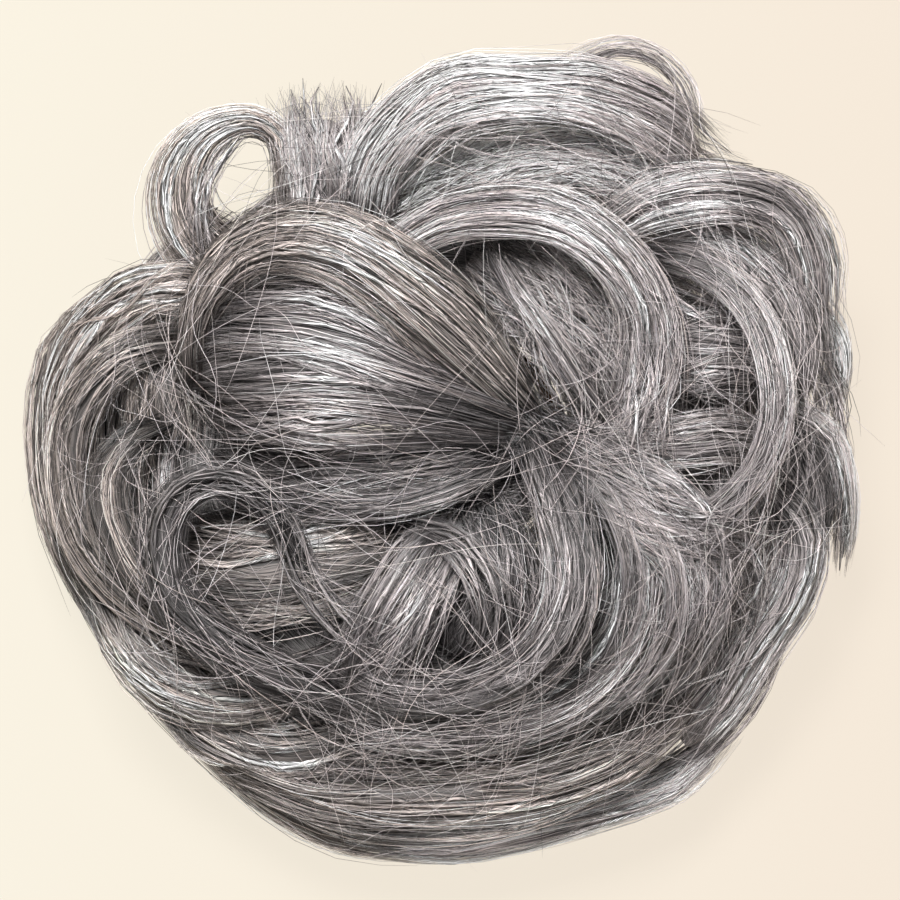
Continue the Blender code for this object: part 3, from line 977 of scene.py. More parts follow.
@dataclass
class Strays:
    """Single hairs that lie across the locks in every direction, and stand out round the edge.

    Attributes:
        count: number of hairs.
        shortest: length of the shortest, in millimetres.
        longest: length of the longest.
        outside: how far they reach past the locks.
        girth: strand radius.
        points: points along each.
        mix: mix of their colours.
    """

    count: int = 1200
    shortest: float = 12
    longest: float = 45
    outside: float = 2.5
    girth: float = 0.046
    points: int = 11
    mix: StrandMix = StrandMix(0.36, 0.36, 0.2)

    def strands(
        self, routes: list[Route], weights: np.ndarray, rng: np.random.Generator, surface: Surface
    ) -> Strands:
        """Draws the hairs as wandering arcs that start along a lock.

        Args:
            routes: the locks' middle lines.
            weights: how messy each lock is.
            rng: source of the random draws.
            surface: the upper side of all the hair.

        Returns:
            The strands.
        """
        weights = weights * np.array([route.length for route in routes])
        drawn = 2 * self.count
        chosen = [routes[pick] for pick in rng.choice(len(routes), drawn, p=weights / weights.sum())]
        share = rng.random(drawn)
        starts, ahead = [], []
        for route, spot in zip(chosen, share):
            starts.append(route.place(spot[None], rng.uniform(-1, 1, 1), np.zeros(1))[0, :2])
            ahead.append(route.tangents[int(spot * (len(route.tangents) - 1))])
        starts, ahead = np.stack(starts), np.stack(ahead)
        heading = np.arctan2(ahead[:, 1], ahead[:, 0]) + rng.normal(0, 0.5, drawn)
        step = np.linspace(0, 1, self.points)
        length = rng.uniform(self.shortest, self.longest, drawn) * MM
        wave = waves(step, rng.uniform(0.5, 1.5, (drawn, 1)), np.zeros(1))
        bend = rng.normal(0, 0.9, (drawn, 1)) * step + rng.normal(0, 0.3, (drawn, 1)) * wave
        direction = heading[:, None] + bend
        stride = (length / (self.points - 1))[:, None]
        moved = np.stack([np.cos(direction), np.sin(direction)], axis=-1) * stride[..., None]
        level = starts[:, None] + np.cumsum(moved, axis=1) - moved[:, :1]
        height, outside = surface.read(level, surface.gentle)
        allowed = self.outside * MM * rng.uniform(0, 1, drawn) ** 2
        kept = np.flatnonzero(outside.max(axis=1) < allowed)[:self.count]
        level, height = level[kept], height[kept]
        for _ in range(3):
            height[:, 1:-1] = (height[:, :-2] + 2 * height[:, 1:-1] + height[:, 2:]) / 4
        height = np.maximum(height + rng.uniform(-0.5, 1.4, (len(kept), 1)) * MM, 1 * MM)
        lines = np.concatenate([level, height[..., None]], axis=-1)
        radii = self.girth * MM * rng.uniform(0.7, 1.2, (len(kept), 1)) * taper(step, 0.4)
        colours = self.mix.colours(rng, len(kept))
        return Strands(lines, radii, np.repeat(colours[:, None], self.points, axis=1))

    def dress(
        self, locks: list[Lock], origin: np.ndarray, material: bpy.types.Material, surface: Surface
    ) -> bpy.types.Object:
        """Builds the piece of stray hairs.

        Args:
            locks: the locks that they stray from.
            origin: the band's middle.
            material: the hair finish.
            surface: the upper side of all the hair.

        Returns:
            The piece.
        """
        routes = [lock.route(origin) for lock in locks]
        weights = np.array([lock.loose for lock in locks])
        gathered = StrandMesh()
        gathered.add_strands(self.strands(routes, weights, np.random.default_rng(STRAY_SEED), surface))
        return gathered.to_object("stray_hair", material)


# Looks that several locks share: combed flat, combed and banded, and ruffled
SMOOTH = {"spread": 0.12, "loose": 0.05}
SLEEK = {"frizz": 0.04, "spread": 0.08, "sway": 0.2, "banding": 0.6, "loose": 0.05}
TANGLED = {"frizz": 0.2, "spread": 0.5}

# The locks, repeated from the CAD: x, y, z and width in millimetres, from the band's middle
# Each lock's tone is partly painted light and shade, and its gleam, tuck and lights paint highlight and
# shade into its strands' colour
LOCKS = [
    Lock("lock_arch_centre", Shade.LIGHT, 9, [
        (-9, 37, 43, 6), (0, 42, 48, 7.5), (10, 43.5, 52, 8.5), (21, 42, 54.5, 9), (30, 36, 54, 9),
        (36, 27, 51, 9.5), (37, 17, 46, 10.5), (35, 6, 40, 11),
    ], tone=1.25, sway=0.16, banding=0.25, gleam=0.6, loose=0.14, tuck=(4.0, 14.0),
       lights=((0.05, 0.12, 0.4), (0.36, 0.16, 0.3), (0.85, 0.15, 0.4))),
    Lock("lock_loop_right", Shade.LIGHT, 7, [
        (38, 36, 45, 3.5), (47, 33.5, 50, 5), (55, 26, 52, 6), (59, 16, 53, 6.5), (59.5, 5, 52, 6.5),
        (55, -5, 50, 6), (47, -12, 46, 5.5), (38, -17, 40, 4.5),
    ], tone=0.75, sway=0.2, banding=0.6, loose=0.2),
    Lock("lock_arch_upper_left", Shade.WARM, 8, [
        (16, 7, 43, 6), (8.5, 15, 48, 10), (1, 22.5, 52, 13.5), (-8, 30, 54.5, 14), (-17, 36, 55, 13.5),
        (-26, 38.5, 54, 12), (-35, 36.5, 51, 9), (-41, 31, 49, 6.5), (-44.5, 24, 46, 4.5),
        (-45.5, 12, 39, 4),
    ], tone=0.95, fullness=17, spread=0.2, gleam=0.8, loose=0.06,
       lights=((0.43, 0.12, 0.75), (0.68, 0.08, 0.3))),
    Lock("lock_curl_centre_down", Shade.MID, 9, [
        (16.5, 2, 43, 6), (20.5, -8, 50, 9), (23, -19, 54, 9.5), (21.5, -29, 54, 9.5), (15, -38, 51, 9),
        (3, -43.5, 48, 8), (-10, -44, 44, 7.5), (-21, -39, 38, 6),
    ], tone=1.1, sway=0.2, banding=0.7, loose=0.16, lights=((0.75, 0.15, -0.3),)),
    Lock("lock_fan_left", Shade.MID, 10, [
        (15, 5, 41, 6), (5, 8, 46, 11), (-8, 12, 51, 18), (-22, 15.5, 53, 26), (-36, 15.5, 47, 25),
        (-43, 15, 37, 20),
    ], tone=0.85, fullness=17, gleam=1.1, lights=((0.57, 0.13, 0.9), (0.92, 0.12, -0.4), (0.2, 0.15, -0.3)),
       **SMOOTH),
    Lock("lock_wisp_centre", Shade.MID, 3.5, [
        (8.5, 37, 42, 3.5), (13, 29.5, 48, 3.5), (18.5, 21.5, 49, 3.5), (24.5, 12.5, 46, 3.5),
        (29, 5, 41, 3),
    ], tone=1.1, loose=0.3),
    Lock("lock_wisp_left_centre", Shade.DARK, 4, [
        (14, 1, 42, 3), (9.5, -3, 46, 3.5), (0.5, -7, 48, 4.5), (-10.5, -9.5, 47, 5), (-22, -9.5, 45, 5),
        (-32, -7, 42, 4),
    ], tone=1.0, loose=0.3),
    Lock("lock_curl_left", Shade.DARK, 7, [
        (-25, -19, 41, 4), (-31.5, -9, 45, 4.5), (-40, -5, 48, 5), (-47, -8, 48, 6), (-50, -16.5, 47, 7),
        (-47, -27, 46, 8), (-37.5, -36, 44, 8), (-25, -42, 40, 7.5), (-13, -46, 36, 6),
    ], tone=0.7, spread=0.3, sway=0.28, loose=0.15, tuck=(6.0, 14.0), lights=((0.45, 0.12, -0.3),)),
    Lock("lock_tuft_lower", Shade.MID, 7, [
        (2, -14, 42, 7), (-3, -23, 47, 11), (-9, -32, 46, 13), (-17, -39, 42, 11),
    ], tone=1.05, fullness=17, spread=0.35, sway=0.25, loose=0.2, strips=0.5,
       lights=((0.15, 0.2, 0.5), (0.6, 0.15, -0.35), (0.95, 0.2, 0.7))),
    Lock("lock_arch_right", Shade.MID, 8, [
        (29, 40, 40, 6), (38, 45, 46, 8.5), (50, 46.5, 48, 9.5), (60.5, 43.5, 45, 10.5), (66, 35, 38, 10),
        (67, 24, 29, 8.5),
    ], tone=1.6, spread=0.16, banding=0.5, gleam=0.6, loose=0.1,
       lights=((0.2, 0.1, 0.7), (0.45, 0.14, -0.35), (0.9, 0.2, 0.4))),
    Lock("lock_sweep_right", Shade.MID, 7, [
        (21, 3, 42, 5), (30, -3, 46, 9), (38, -8.5, 47, 12), (43.5, -16.5, 46, 12), (44.5, -26, 44, 11),
        (40, -36, 40, 9),
    ], tone=1.2, spread=0.3, sway=0.25, banding=0.7, loose=0.25, lights=((0.45, 0.12, 0.6),)),
    Lock("lock_arch_top", Shade.LIGHT, 9, [
        (-14, 43, 35, 10), (-12, 51.5, 40, 11.5), (-6, 59, 45, 12.5), (2.5, 64.8, 48, 12.5),
        (14, 65.3, 49, 12), (26.5, 65, 47, 12), (37.5, 60.5, 43, 12), (45.5, 54, 36, 10.5),
    ], tone=2.0, spread=0.16, sway=0.14, banding=0.3, gleam=0.6, loose=0.05, tuck=(5.0, 14.0),
       lights=((0.2, 0.16, 0.4), (0.85, 0.14, -0.2))),
    Lock("lock_curl_outer", Shade.MID, 7, [
        (29, -2, 40, 5.5), (34.5, -14, 42, 8), (35.5, -25.5, 43, 9), (30.5, -37, 43, 9), (20, -45, 42, 9),
        (5, -49.5, 40, 8.5), (-11, -49, 38, 7.5), (-22, -44, 34, 6),
    ], tone=1.3, spread=0.25, sway=0.25, banding=0.75, loose=0.25),
    Lock("lock_sweep_left_inner", Shade.WARM, 6, [
        (-50, 5, 39, 4), (-56.5, 1.5, 42, 6), (-60, -5.5, 42, 7.5), (-58, -15.5, 42, 7.5),
        (-52, -24.5, 42, 7), (-41, -32, 39, 6),
    ], tone=0.55, sway=0.2, banding=0.6),
    Lock("lock_sweep_right_upper", Shade.MID, 6, [
        (18.5, 4.5, 40, 5), (28, 2.5, 41, 7), (39, 2, 42, 9), (50, 3, 41, 9), (57, 2, 38, 7),
    ], tone=1.05, loose=0.25, lights=((0.75, 0.14, 0.5),)),
    Lock("lock_inner_curl", Shade.WARM, 6, [
        (-48, -19, 37, 14), (-36.5, -21, 40, 18), (-24, -20, 41, 17), (-8, -16, 40, 14),
    ], tone=0.75, frizz=0.05, spread=0.2, banding=0.6, loose=0.2, lights=((0.5, 0.2, 0.6),)),
    Lock("lock_inner_lower", Shade.DARK, 7, [
        (5, -8, 38, 10), (8, -22, 40, 21), (3, -36, 38, 20),
    ], tone=0.95, frizz=0.12, spread=0.4, loose=0.35),
    Lock("lock_band_left_centre", Shade.DARK, 7, [
        (11, 0, 38.5, 6), (-2, -2, 40, 12), (-17, -4, 41, 16), (-31, -4, 38, 15), (-41, 0, 34, 10),
    ], tone=1.4, frizz=0.1, spread=0.25, loose=0.25),
    Lock("lock_window_right", Shade.MID, 6, [
        (39, 19, 36, 13), (48, 18.5, 38, 16), (58, 17, 36, 14),
    ], tone=1.4, frizz=0.03, spread=0.1, banding=0.7, loose=0.12),
    Lock("lock_inner_right", Shade.MID, 6, [
        (38, 38.5, 38, 8), (49, 37.5, 39, 11), (59, 30, 38, 12), (64, 19.5, 34, 10), (65, 10.5, 30, 7),
    ], tone=1.6, frizz=0.1, spread=0.35, loose=0.35),
    Lock("lock_tuft_upright", Shade.PALE, 7, [
        (-19, 40, 33, 11), (-21, 49, 38, 13), (-21.5, 57.5, 39, 14), (-22, 64.5, 36, 13),
    ], tone=1.0, fullness=20, frizz=0.08, spread=0.25, sway=0.25, gleam=0.6, loose=0.35, solid=0.8,
       tuck=(14.0, 2.0)),
    Lock("lock_loop_top_left", Shade.WARM, 6, [
        (-39, 33, 31, 12), (-46, 41, 36, 12), (-47, 50, 39, 10.5), (-43, 57, 40, 7.5), (-35.5, 60, 39, 5),
        (-30, 57.5, 37, 4.5), (-28.5, 51, 34, 4.5), (-29, 43, 31, 4.5),
    ], tone=2.5, spread=0.2, banding=0.6, gleam=0.6, loose=0.1),
    Lock("lock_loop_top_right", Shade.PALE, 3.5, [
        (19, 67, 43, 3.5), (30, 73, 40, 3.5), (38.5, 71.5, 37, 3.5), (44, 65.5, 35, 3.5),
        (45.5, 57, 34, 3.5),
    ], tone=1.15, spread=0.3, loose=0.3, solid=0.0),
    Lock("lock_sweep_left_outer", Shade.WARM, 8, [
        (-44.5, 21, 36, 5), (-57, 18, 39, 7.5), (-65, 9.5, 38, 8), (-67.5, -1, 37, 8), (-65, -14, 36, 8.5),
        (-56.5, -25, 36, 8.5), (-43, -33.5, 36, 7.5), (-29, -38.5, 33, 6),
    ], tone=0.55, frizz=0.04, sway=0.2, banding=0.6, lights=((0.1, 0.15, 0.4), (0.62, 0.12, -0.4)),
       **SMOOTH),
    Lock("lock_sweep_upper_left", Shade.WARM, 8, [
        (-43.5, 30.5, 35, 8), (-53.5, 29, 34, 10), (-62, 24, 30, 10), (-68, 15, 25, 8),
    ], tone=2.2, sway=0.2, **SMOOTH),
    Lock("lock_swag_left", Shade.WARM, 7.5, [
        (-63.5, -22, 28, 6), (-57, -34.5, 31, 9), (-46.5, -42.5, 33, 10.5), (-34, -44, 34, 10.5),
        (-19.5, -39, 32, 9),
    ], tone=0.8, lights=((0.08, 0.1, -0.6), (0.35, 0.12, 0.6), (0.85, 0.12, -0.4)), **SLEEK),
    Lock("lock_inner_left", Shade.WARM, 6, [
        (-46, 22, 31, 10), (-49.5, 12.5, 33, 13), (-50, 1, 32, 13),
    ], tone=0.8, frizz=0.05, spread=0.15, loose=0.12),
    Lock("lock_inner_top", Shade.LIGHT, 7, [
        (0, 50, 34, 11), (14, 54.5, 36, 13), (28, 54.5, 36, 13), (42.5, 50, 33, 12), (52, 47, 29, 9),
    ], tone=1.9, frizz=0.12, spread=0.4, loose=0.35, strips=1.0),
    Lock("lock_inner_centre", Shade.MID, 6, [
        (5, 35, 34, 10), (17.5, 29.5, 37, 14), (28, 20.5, 37, 14), (34, 10, 35, 10),
    ], tone=1.2, frizz=0.14, spread=0.4, loose=0.35),
    Lock("lock_edge_right_lower", Shade.MID, 8, [
        (59, -6.5, 34, 7), (64.5, -14, 32, 9.5), (63, -24.5, 30, 9.5), (56.5, -34.5, 28, 9.5),
        (50.5, -44.5, 25, 9.5), (44, -52.5, 23, 8),
    ], tone=2.3, gleam=0.6, lights=((0.12, 0.12, -0.6),), **SMOOTH),
    Lock("lock_edge_right", Shade.PALE, 7, [
        (61.5, 8, 34, 5), (69, 3.5, 32, 7), (72, -4.5, 29, 6), (73, -12.5, 24, 4.5), (72.5, -19, 20, 3),
    ], tone=1.9, spread=0.12, loose=0.02, solid=0.7, tuck=(14.0, 2.0)),
    Lock("lock_edge_right_upper", Shade.PALE, 5, [
        (64, 30.5, 30, 5), (70, 23, 27, 5.5), (72, 15, 24, 4.5), (70.5, 6, 21, 3.5),
    ], tone=3.0, solid=0.8, tuck=(14.0, 2.0), **SMOOTH),
    Lock("lock_swag_left_lower", Shade.WARM, 7, [
        (-50.5, -42.5, 26, 4), (-42.5, -49.5, 29, 8.5), (-28.5, -53.5, 31, 10), (-14, -50.5, 31, 9),
    ], tone=0.75, lights=((0.62, 0.09, 2.6), (0.2, 0.12, -0.3), (0.95, 0.1, -0.4)), **SLEEK),
    Lock("lock_swag_bottom", Shade.WARM, 8, [
        (-37.5, -56, 26, 7), (-20.5, -61.5, 28, 11), (-2.5, -62.5, 30, 12), (15.5, -60.5, 30, 12),
        (32, -54.5, 30, 11), (44.5, -45, 28, 9),
    ], tone=0.8, spread=0.12, sway=0.2, banding=0.6, loose=0.1,
       lights=((0.3, 0.12, -0.35), (0.6, 0.15, 0.3))),
    Lock("lock_edge_left", Shade.WARM, 8, [
        (-59.5, 28.5, 23, 6), (-68.5, 19.5, 22, 8), (-71.5, 9, 21, 7.5), (-71.5, -3, 21, 7.5),
        (-69.5, -13.5, 21, 7), (-64.5, -24.5, 20, 6.5),
    ], tone=0.8, **SMOOTH),
    Lock("lock_edge_bottom_left", Shade.WARM, 8, [
        (-68, -16.5, 17, 7), (-60.7, -28.5, 20, 8.5), (-52, -40, 21, 9.5), (-42, -51, 20, 9.5),
        (-30, -61.5, 19, 10), (-17.5, -68.5, 18, 9), (-3, -70, 17, 9),
    ], tone=1.35, spread=0.08, loose=0.05, lights=((0.3, 0.05, 1.8), (0.15, 0.08, -0.4), (0.5, 0.1, -0.3))),
    Lock("lock_edge_bottom", Shade.PALE, 7, [
        (-12, -70.5, 18, 6), (0, -70.5, 19, 8), (10.5, -69, 20, 8), (26.5, -65, 20, 8.5),
        (42, -59.5, 19, 8), (51, -51.5, 18, 5),
    ], tone=1.7, banding=0.5, gleam=0.5, strips=1.0, **SMOOTH),
]


# Loose tangles in the hollows between the locks, over the base
FILLS = [
    Lock("fill_below_knot", Shade.MID, 4, [
        (-18, -15, 36, 9), (-6, -16, 38, 12), (6, -13, 39, 12), (16, -8, 38, 8),
    ], tone=0.75, fullness=16, solid=1.0, **TANGLED),
    Lock("fill_beside_knot", Shade.MID, 4, [
        (-14, -2, 37, 8), (-2, -6, 38, 11), (8, -5, 38, 12), (18, -6, 38, 10),
    ], tone=0.6, fullness=14, solid=1.0, **TANGLED),
    Lock("fill_knot", Shade.DARK, 6, [
        (6, 8, 41, 8), (13, 6, 44, 9), (18, 2, 44, 9), (23, -3, 42, 8),
    ], tone=0.45, fullness=26, frizz=0.3, spread=0.8, solid=0.0),
    Lock("fill_arch_hollow", Shade.MID, 5, [
        (7, 36, 40, 9), (15, 30, 42, 13), (23, 20, 42, 14), (28.5, 8, 41, 10),
    ], tone=0.95, fullness=16, frizz=0.25, spread=0.6, solid=0.0),
    Lock("fill_window", Shade.MID, 4, [
        (36, 33, 38, 8), (44, 30, 39, 10), (52, 25, 38, 10), (58, 18, 36, 8),
    ], tone=1.15, fullness=6, frizz=0.1, spread=0.3, solid=0.0),
    Lock("fill_below_top", Shade.PALE, 4, [
        (-16, 44, 33, 8), (-4, 50, 36, 10), (8, 55, 37, 10), (20, 58, 37, 8),
    ], tone=2.8, fullness=14, solid=0.0, **TANGLED),
    Lock("fill_right_inner", Shade.MID, 4, [
        (45, -8, 38, 8), (50, -14, 37, 9), (53, -22, 35, 9), (51, -31, 33, 8),
    ], tone=1.55, fullness=12, solid=0.0, **TANGLED),
    Lock("fill_edge_right", Shade.MID, 4, [
        (60, 25, 34, 8), (65, 18, 31, 9), (68, 10, 28, 9), (68, 1, 26, 8),
    ], tone=1.6, fullness=14, frizz=0.15, spread=0.4, solid=0.0),
    Lock("fill_side_high", Shade.MID, 5, [
        (-14, 50, 22, 8), (-22.5, 48, 18, 12), (-31, 43, 17, 13), (-39, 36.3, 18, 12), (-44, 29, 22, 8),
    ], slant=1.08, tone=1.05, fullness=11, spread=0.15),
    Lock("fill_side_low", Shade.MID, 5, [
        (-14, 50, 8.5, 8), (-22.5, 48, 7.5, 12), (-31, 43, 7, 12), (-39, 36.3, 7.5, 12), (-44, 29, 8.5, 8),
    ], slant=1.08, tone=1.05, fullness=11, spread=0.15),
    Lock("fill_right", Shade.MID, 4, [
        (58, 8, 36, 8), (64, 1, 34, 10), (67, -7, 31, 10), (66, -16, 28, 8),
    ], tone=0.95, fullness=14, solid=1.0, **TANGLED),
]


# Thin wisps that lie over the locks
WISPS = [
    Lock("wisp_arc_inner", Shade.LIGHT, 2, [
        (20, 0, 49, 2), (28, -6, 52.5, 3), (33, -16, 53, 3.5), (33.5, -27, 51, 3.5), (29, -37, 48, 3),
        (19, -45, 45, 2),
    ], tone=0.5, fullness=16, solid=0.0),
    Lock("wisp_arc_middle", Shade.LIGHT, 2, [
        (24, -2, 49, 2), (34, -8.5, 52, 3), (40.5, -18, 51.5, 3.5), (41.5, -29, 49, 3.5), (37, -39, 45, 3),
        (28, -47, 43, 2),
    ], tone=0.75, fullness=16, solid=0.0),
    Lock("wisp_arc_outer", Shade.LIGHT, 2, [
        (27, 0, 47, 2), (40, -4.5, 50.5, 3), (48, -13, 50, 3.5), (50, -25, 47, 3.5), (46, -36, 42, 3),
        (38, -46, 38, 2),
    ], tone=0.9, fullness=16, solid=0.0),
    Lock("wisp_across_right", Shade.LIGHT, 3, [
        (20, -1, 48, 3), (29, -6.5, 51, 6), (38, -12, 52, 9), (47, -14.5, 50.5, 9), (56, -15, 46, 7),
    ], tone=0.85, fullness=12, spread=0.4, banding=0.2, gleam=0.4, solid=0.0, lights=((0.6, 0.15, 0.4),)),
    Lock("wisp_tuft_right", Shade.LIGHT, 3, [
        (-5, -13, 48, 3), (2, -15.5, 51, 6), (7.5, -22, 51.5, 7), (9.5, -29, 50, 6), (7.5, -36, 47, 4),
    ], tone=0.5, fullness=7, spread=0.4, solid=0.0),
    Lock("wisp_tuft_left", Shade.LIGHT, 3, [
        (0, -13, 48, 3), (-5, -16, 50.5, 6), (-9.5, -23, 51, 7), (-14, -32, 49, 7), (-17, -41, 45, 5),
    ], tone=0.5, fullness=12, solid=0.0),
    Lock("wisp_curl_left", Shade.MID, 4, [
        (-45.5, -6.5, 49, 3), (-39, -4.7, 50.5, 4.5), (-32.5, -7.7, 50, 5.5), (-28, -13.7, 48, 6.5),
        (-25, -21, 47, 7), (-20.3, -27, 47.5, 7.5), (-13, -32.5, 48, 7), (-5, -36.5, 48, 6),
    ], tone=0.5, fullness=3, frizz=0.15, spread=0.9, loose=0.25, strips=0.1, solid=0.0),
    Lock("wisp_splayed", Shade.LIGHT, 3, [
        (37.5, 22, 52, 6), (37, 14, 51, 8), (35.5, 7, 50, 9), (33, 1, 49, 8),
    ], tone=1.3, fullness=11, frizz=0.12, spread=0.5, solid=0.0),
    Lock("wisp_edge_right", Shade.LIGHT, 3, [
        (38, -58, 19, 2), (46.5, -54, 21, 4), (54, -46, 23, 4.5), (59.5, -36, 25, 4), (62.5, -26, 26, 2),
    ], tone=1.2, fullness=12, loose=0.05),
    Lock("wisp_hole", Shade.PALE, 3, [
        (-42, 34, 36, 4), (-43.5, 43, 39, 4), (-42, 50, 40, 4), (-37, 57, 40, 3),
    ], tone=1.1, fullness=6, spread=0.5, solid=0.0),
    Lock("wisp_top_layer", Shade.LIGHT, 4, [
        (-10, 50, 42, 5), (-2, 59, 49, 7), (10, 62.5, 52, 8), (24, 62, 51, 8), (37, 57, 47, 8),
        (46, 50, 42, 6),
    ], tone=1.65, fullness=11, frizz=0.1, spread=0.25, loose=0.05, solid=0.0, lights=((0.15, 0.2, 0.3),)),
    Lock("wisp_left_edge", Shade.WARM, 3, [
        (-46, 27, 36, 4), (-56, 28, 35, 5), (-65, 22, 31, 6), (-70, 12, 27, 5), (-71, 2, 24, 3),
    ], tone=3.0, fullness=12, spread=0.2, solid=0.0),
]


@dataclass(frozen=True)
class SkirtRow:
    """A row of locks round the sides, with its sizes in millimetres.

    Attributes:
        name: name of the row.
        count: number of its locks.
        middle_height: height of a lock's middle.
        end_rise: how much higher its ends are.
        overhang: how far its middle is past the base's radius.
        draw_in: how much nearer the band its ends are.
        width: its width.
        thick: its thickness.
        overlap: share of its length that it runs past the next lock's end.
        solid: share of its length with a mass under its strands.
    """

    name: str
    count: int
    middle_height: float
    end_rise: float
    overhang: float
    draw_in: float
    width: float
    thick: float
    overlap: float
    solid: float = 1.0


@dataclass
class Skirt:
    """The locks that hang round the outside of the base, on which the hairpiece rests.

    Attributes:
        start: angle round the band at which each row starts.
        end: angle at which it ends.
        slant: roll of a lock's section about its length.
        base_radius: the radius that the rows are measured from, in millimetres.
        stations: stations along each lock.
        rows: the rows, as in the CAD.
        wisps: thin rows over and between them, which have no mass.
    """

    start: float = math.radians(134)
    end: float = math.radians(477)
    slant: float = math.radians(62)
    base_radius: float = 53.0
    stations: int = 7
    rows: tuple[SkirtRow, ...] = (
        SkirtRow("high", 5, 16, 4, 9, 6, 13, 7, 0.12),
        SkirtRow("low", 6, 6.6, 4, 6.5, 6, 14, 7, 0.15),
    )
    wisps: tuple[SkirtRow, ...] = (
        SkirtRow("shoulder", 7, 25.5, 3, 1.5, 5, 15, 5, 0.3, solid=0.0),
        SkirtRow("between", 9, 11, -3, 9, 2, 8, 4, 0.1, solid=0.0),
    )

    def locks(self, rows: tuple[SkirtRow, ...]) -> Iterable[Lock]:
        """Works out each lock of some rows.

        Args:
            rows: the rows.

        Returns:
            The locks, in the CAD's order.
        """
        for row in rows:
            share = (self.end - self.start) / row.count
            for index in range(row.count):
                first = self.start + share * (index - (row.overlap if index else 0))
                last = self.start + share * (index + 1 + (row.overlap if index < row.count - 1 else 0))
                along = np.linspace(-1, 1, self.stations)
                angle = (first + last + along * (last - first)) / 2
                radius = self.base_radius + row.overhang - row.draw_in * along**2
                height = row.middle_height + row.end_rise * along**2
                width = row.width * (1 - 0.35 * along**2)
                stations = zip(radius * np.cos(angle), radius * np.sin(angle), height, width)
                yield Lock(
                    f"skirt_{row.name}_{index + 1}", Shade.MID, row.thick, list(stations), self.slant,
                    tone=1.05, fullness=9.5, spread=0.12, sway=0.2, loose=0.12, solid=row.solid,
                )


@dataclass
class HairBase:
    """The hair wound round the band, which shows in the hollows and from below.

    Attributes:
        section: radius and height round its section, in millimetres, from the foot of its inner wall.
        middle: radius and height of the section's middle.
        wound: strands wound round the section.
        points: points along each.
        girth: strand radius, in millimetres.
        mix: mix of its strands.
        under: colour of the mass, dark as painted shade in the hollows under the locks.
    """

    section: tuple[tuple[float, float], ...] = (
        (24.3, 5.0), (24.3, 17.0), (24.6, 28.0), (31.0, 33.4), (43.0, 33.4), (51.5, 26.5), (52.4, 14.5),
        (48.5, 4.0), (36.0, 3.6),
    )
    middle: tuple[float, float] = (38.0, 18.0)
    wound: int = 360
    points: int = 12
    girth: float = 0.1
    mix: StrandMix = StrandMix(0.2, 0.16, 0.25)
    under: tuple[float, float, float] = (0.12, 0.113, 0.11)

    def strands(self, origin: np.ndarray, rng: np.random.Generator) -> Strands:
        """Winds the strands round the section, each leaning a little round the band.

        Args:
            origin: the band's middle.
            rng: source of the random draws.

        Returns:
            The strands.
        """
        ring = np.array(self.section + self.section[:1])
        steps = np.linalg.norm(np.diff(ring, axis=0), axis=1)
        along = np.concatenate([[0], np.cumsum(steps)]) / steps.sum()
        start = rng.uniform(0, 1, self.wound)
        reach = rng.uniform(0.35, 0.75, self.wound)
        step = np.linspace(0, 1, self.points)
        turn = (start[:, None] + reach[:, None] * step) % 1
        puff = 1 + rng.uniform(0.0, 0.045, (self.wound, 1))
        radius, height = (
            middle + (np.interp(turn, along, column) - middle) * puff
            for middle, column in zip(self.middle, ring.T)
        )
        lean = rng.normal(0.25, 0.35, (self.wound, 1)) * step
        angle = rng.uniform(0, math.tau, (self.wound, 1)) + lean
        lines = np.stack([radius * np.cos(angle), radius * np.sin(angle), height], axis=-1) * MM + origin
        radii = self.girth * MM * rng.uniform(0.7, 1.25, (self.wound, 1)) * taper(step, 0.4)
        colours = self.mix.colours(rng, self.wound)
        return Strands(lines, radii, np.repeat(colours[:, None], self.points, axis=1))

    def dress(self, origin: np.ndarray, material: bpy.types.Material, surface: Surface) -> bpy.types.Object:
        """Builds the base's piece.

        Args:
            origin: the band's middle.
            material: the hair finish.
            surface: the upper side of all the hair.

        Returns:
            The piece, in place of its CAD node.
        """
        radius, height = self.middle
        turns = np.linspace(0, math.tau, 33)
        ring = [(radius * math.cos(turn), radius * math.sin(turn), height, 28) for turn in turns]
        gathered = StrandMesh()
        route = Route(ring, 30, 0.0, origin)
        # The base's mass is dark as painted shade in the hollows under the locks
        gathered.add_mass(spin(self.section, 64, origin), route, np.array(self.under), 0.0)
        gathered.add_strands(surface.shown(self.strands(origin, np.random.default_rng(BASE_SEED))))
        return gathered.to_object("hair_base_hair", material)


@dataclass
class ElasticBand:
    """The ribbed elastic ring.

    Attributes:
        inner: its inner radius, in millimetres.
        thick: its wall.
        low: height of its underside.
        high: height of its top.
        groove: depth between two ribs.
    """

    inner: float = 21.0
    thick: float = 2.5
    low: float = 8.0
    high: float = 16.0
    groove: float = 0.25

    def dress(self, origin: np.ndarray, material: bpy.types.Material) -> bpy.types.Object:
        """Spins a rounded, ribbed section.

        Args:
            origin: the band's middle.
            material: the elastic finish.

        Returns:
            The piece, in place of its CAD node.
        """
        wall = [(0.15, self.low)]
        heights = np.linspace(self.low + 0.6, self.high - 0.6, 9)
        wall += [(self.groove if rib % 2 else 0.0, height) for rib, height in enumerate(heights)]
        wall += [(0.5, self.high)]
        section = [(self.inner + inset, height) for inset, height in wall]
        section += [(self.inner + self.thick - inset, height) for inset, height in reversed(wall)]
        mesh = bpy.data.meshes.new("elastic_ring")
        bm = spin(section, 96, origin)
        bm.to_mesh(mesh)
        bm.free()
        mesh.shade_smooth()
        mesh.materials.append(material)
        return link("elastic_ring", mesh)


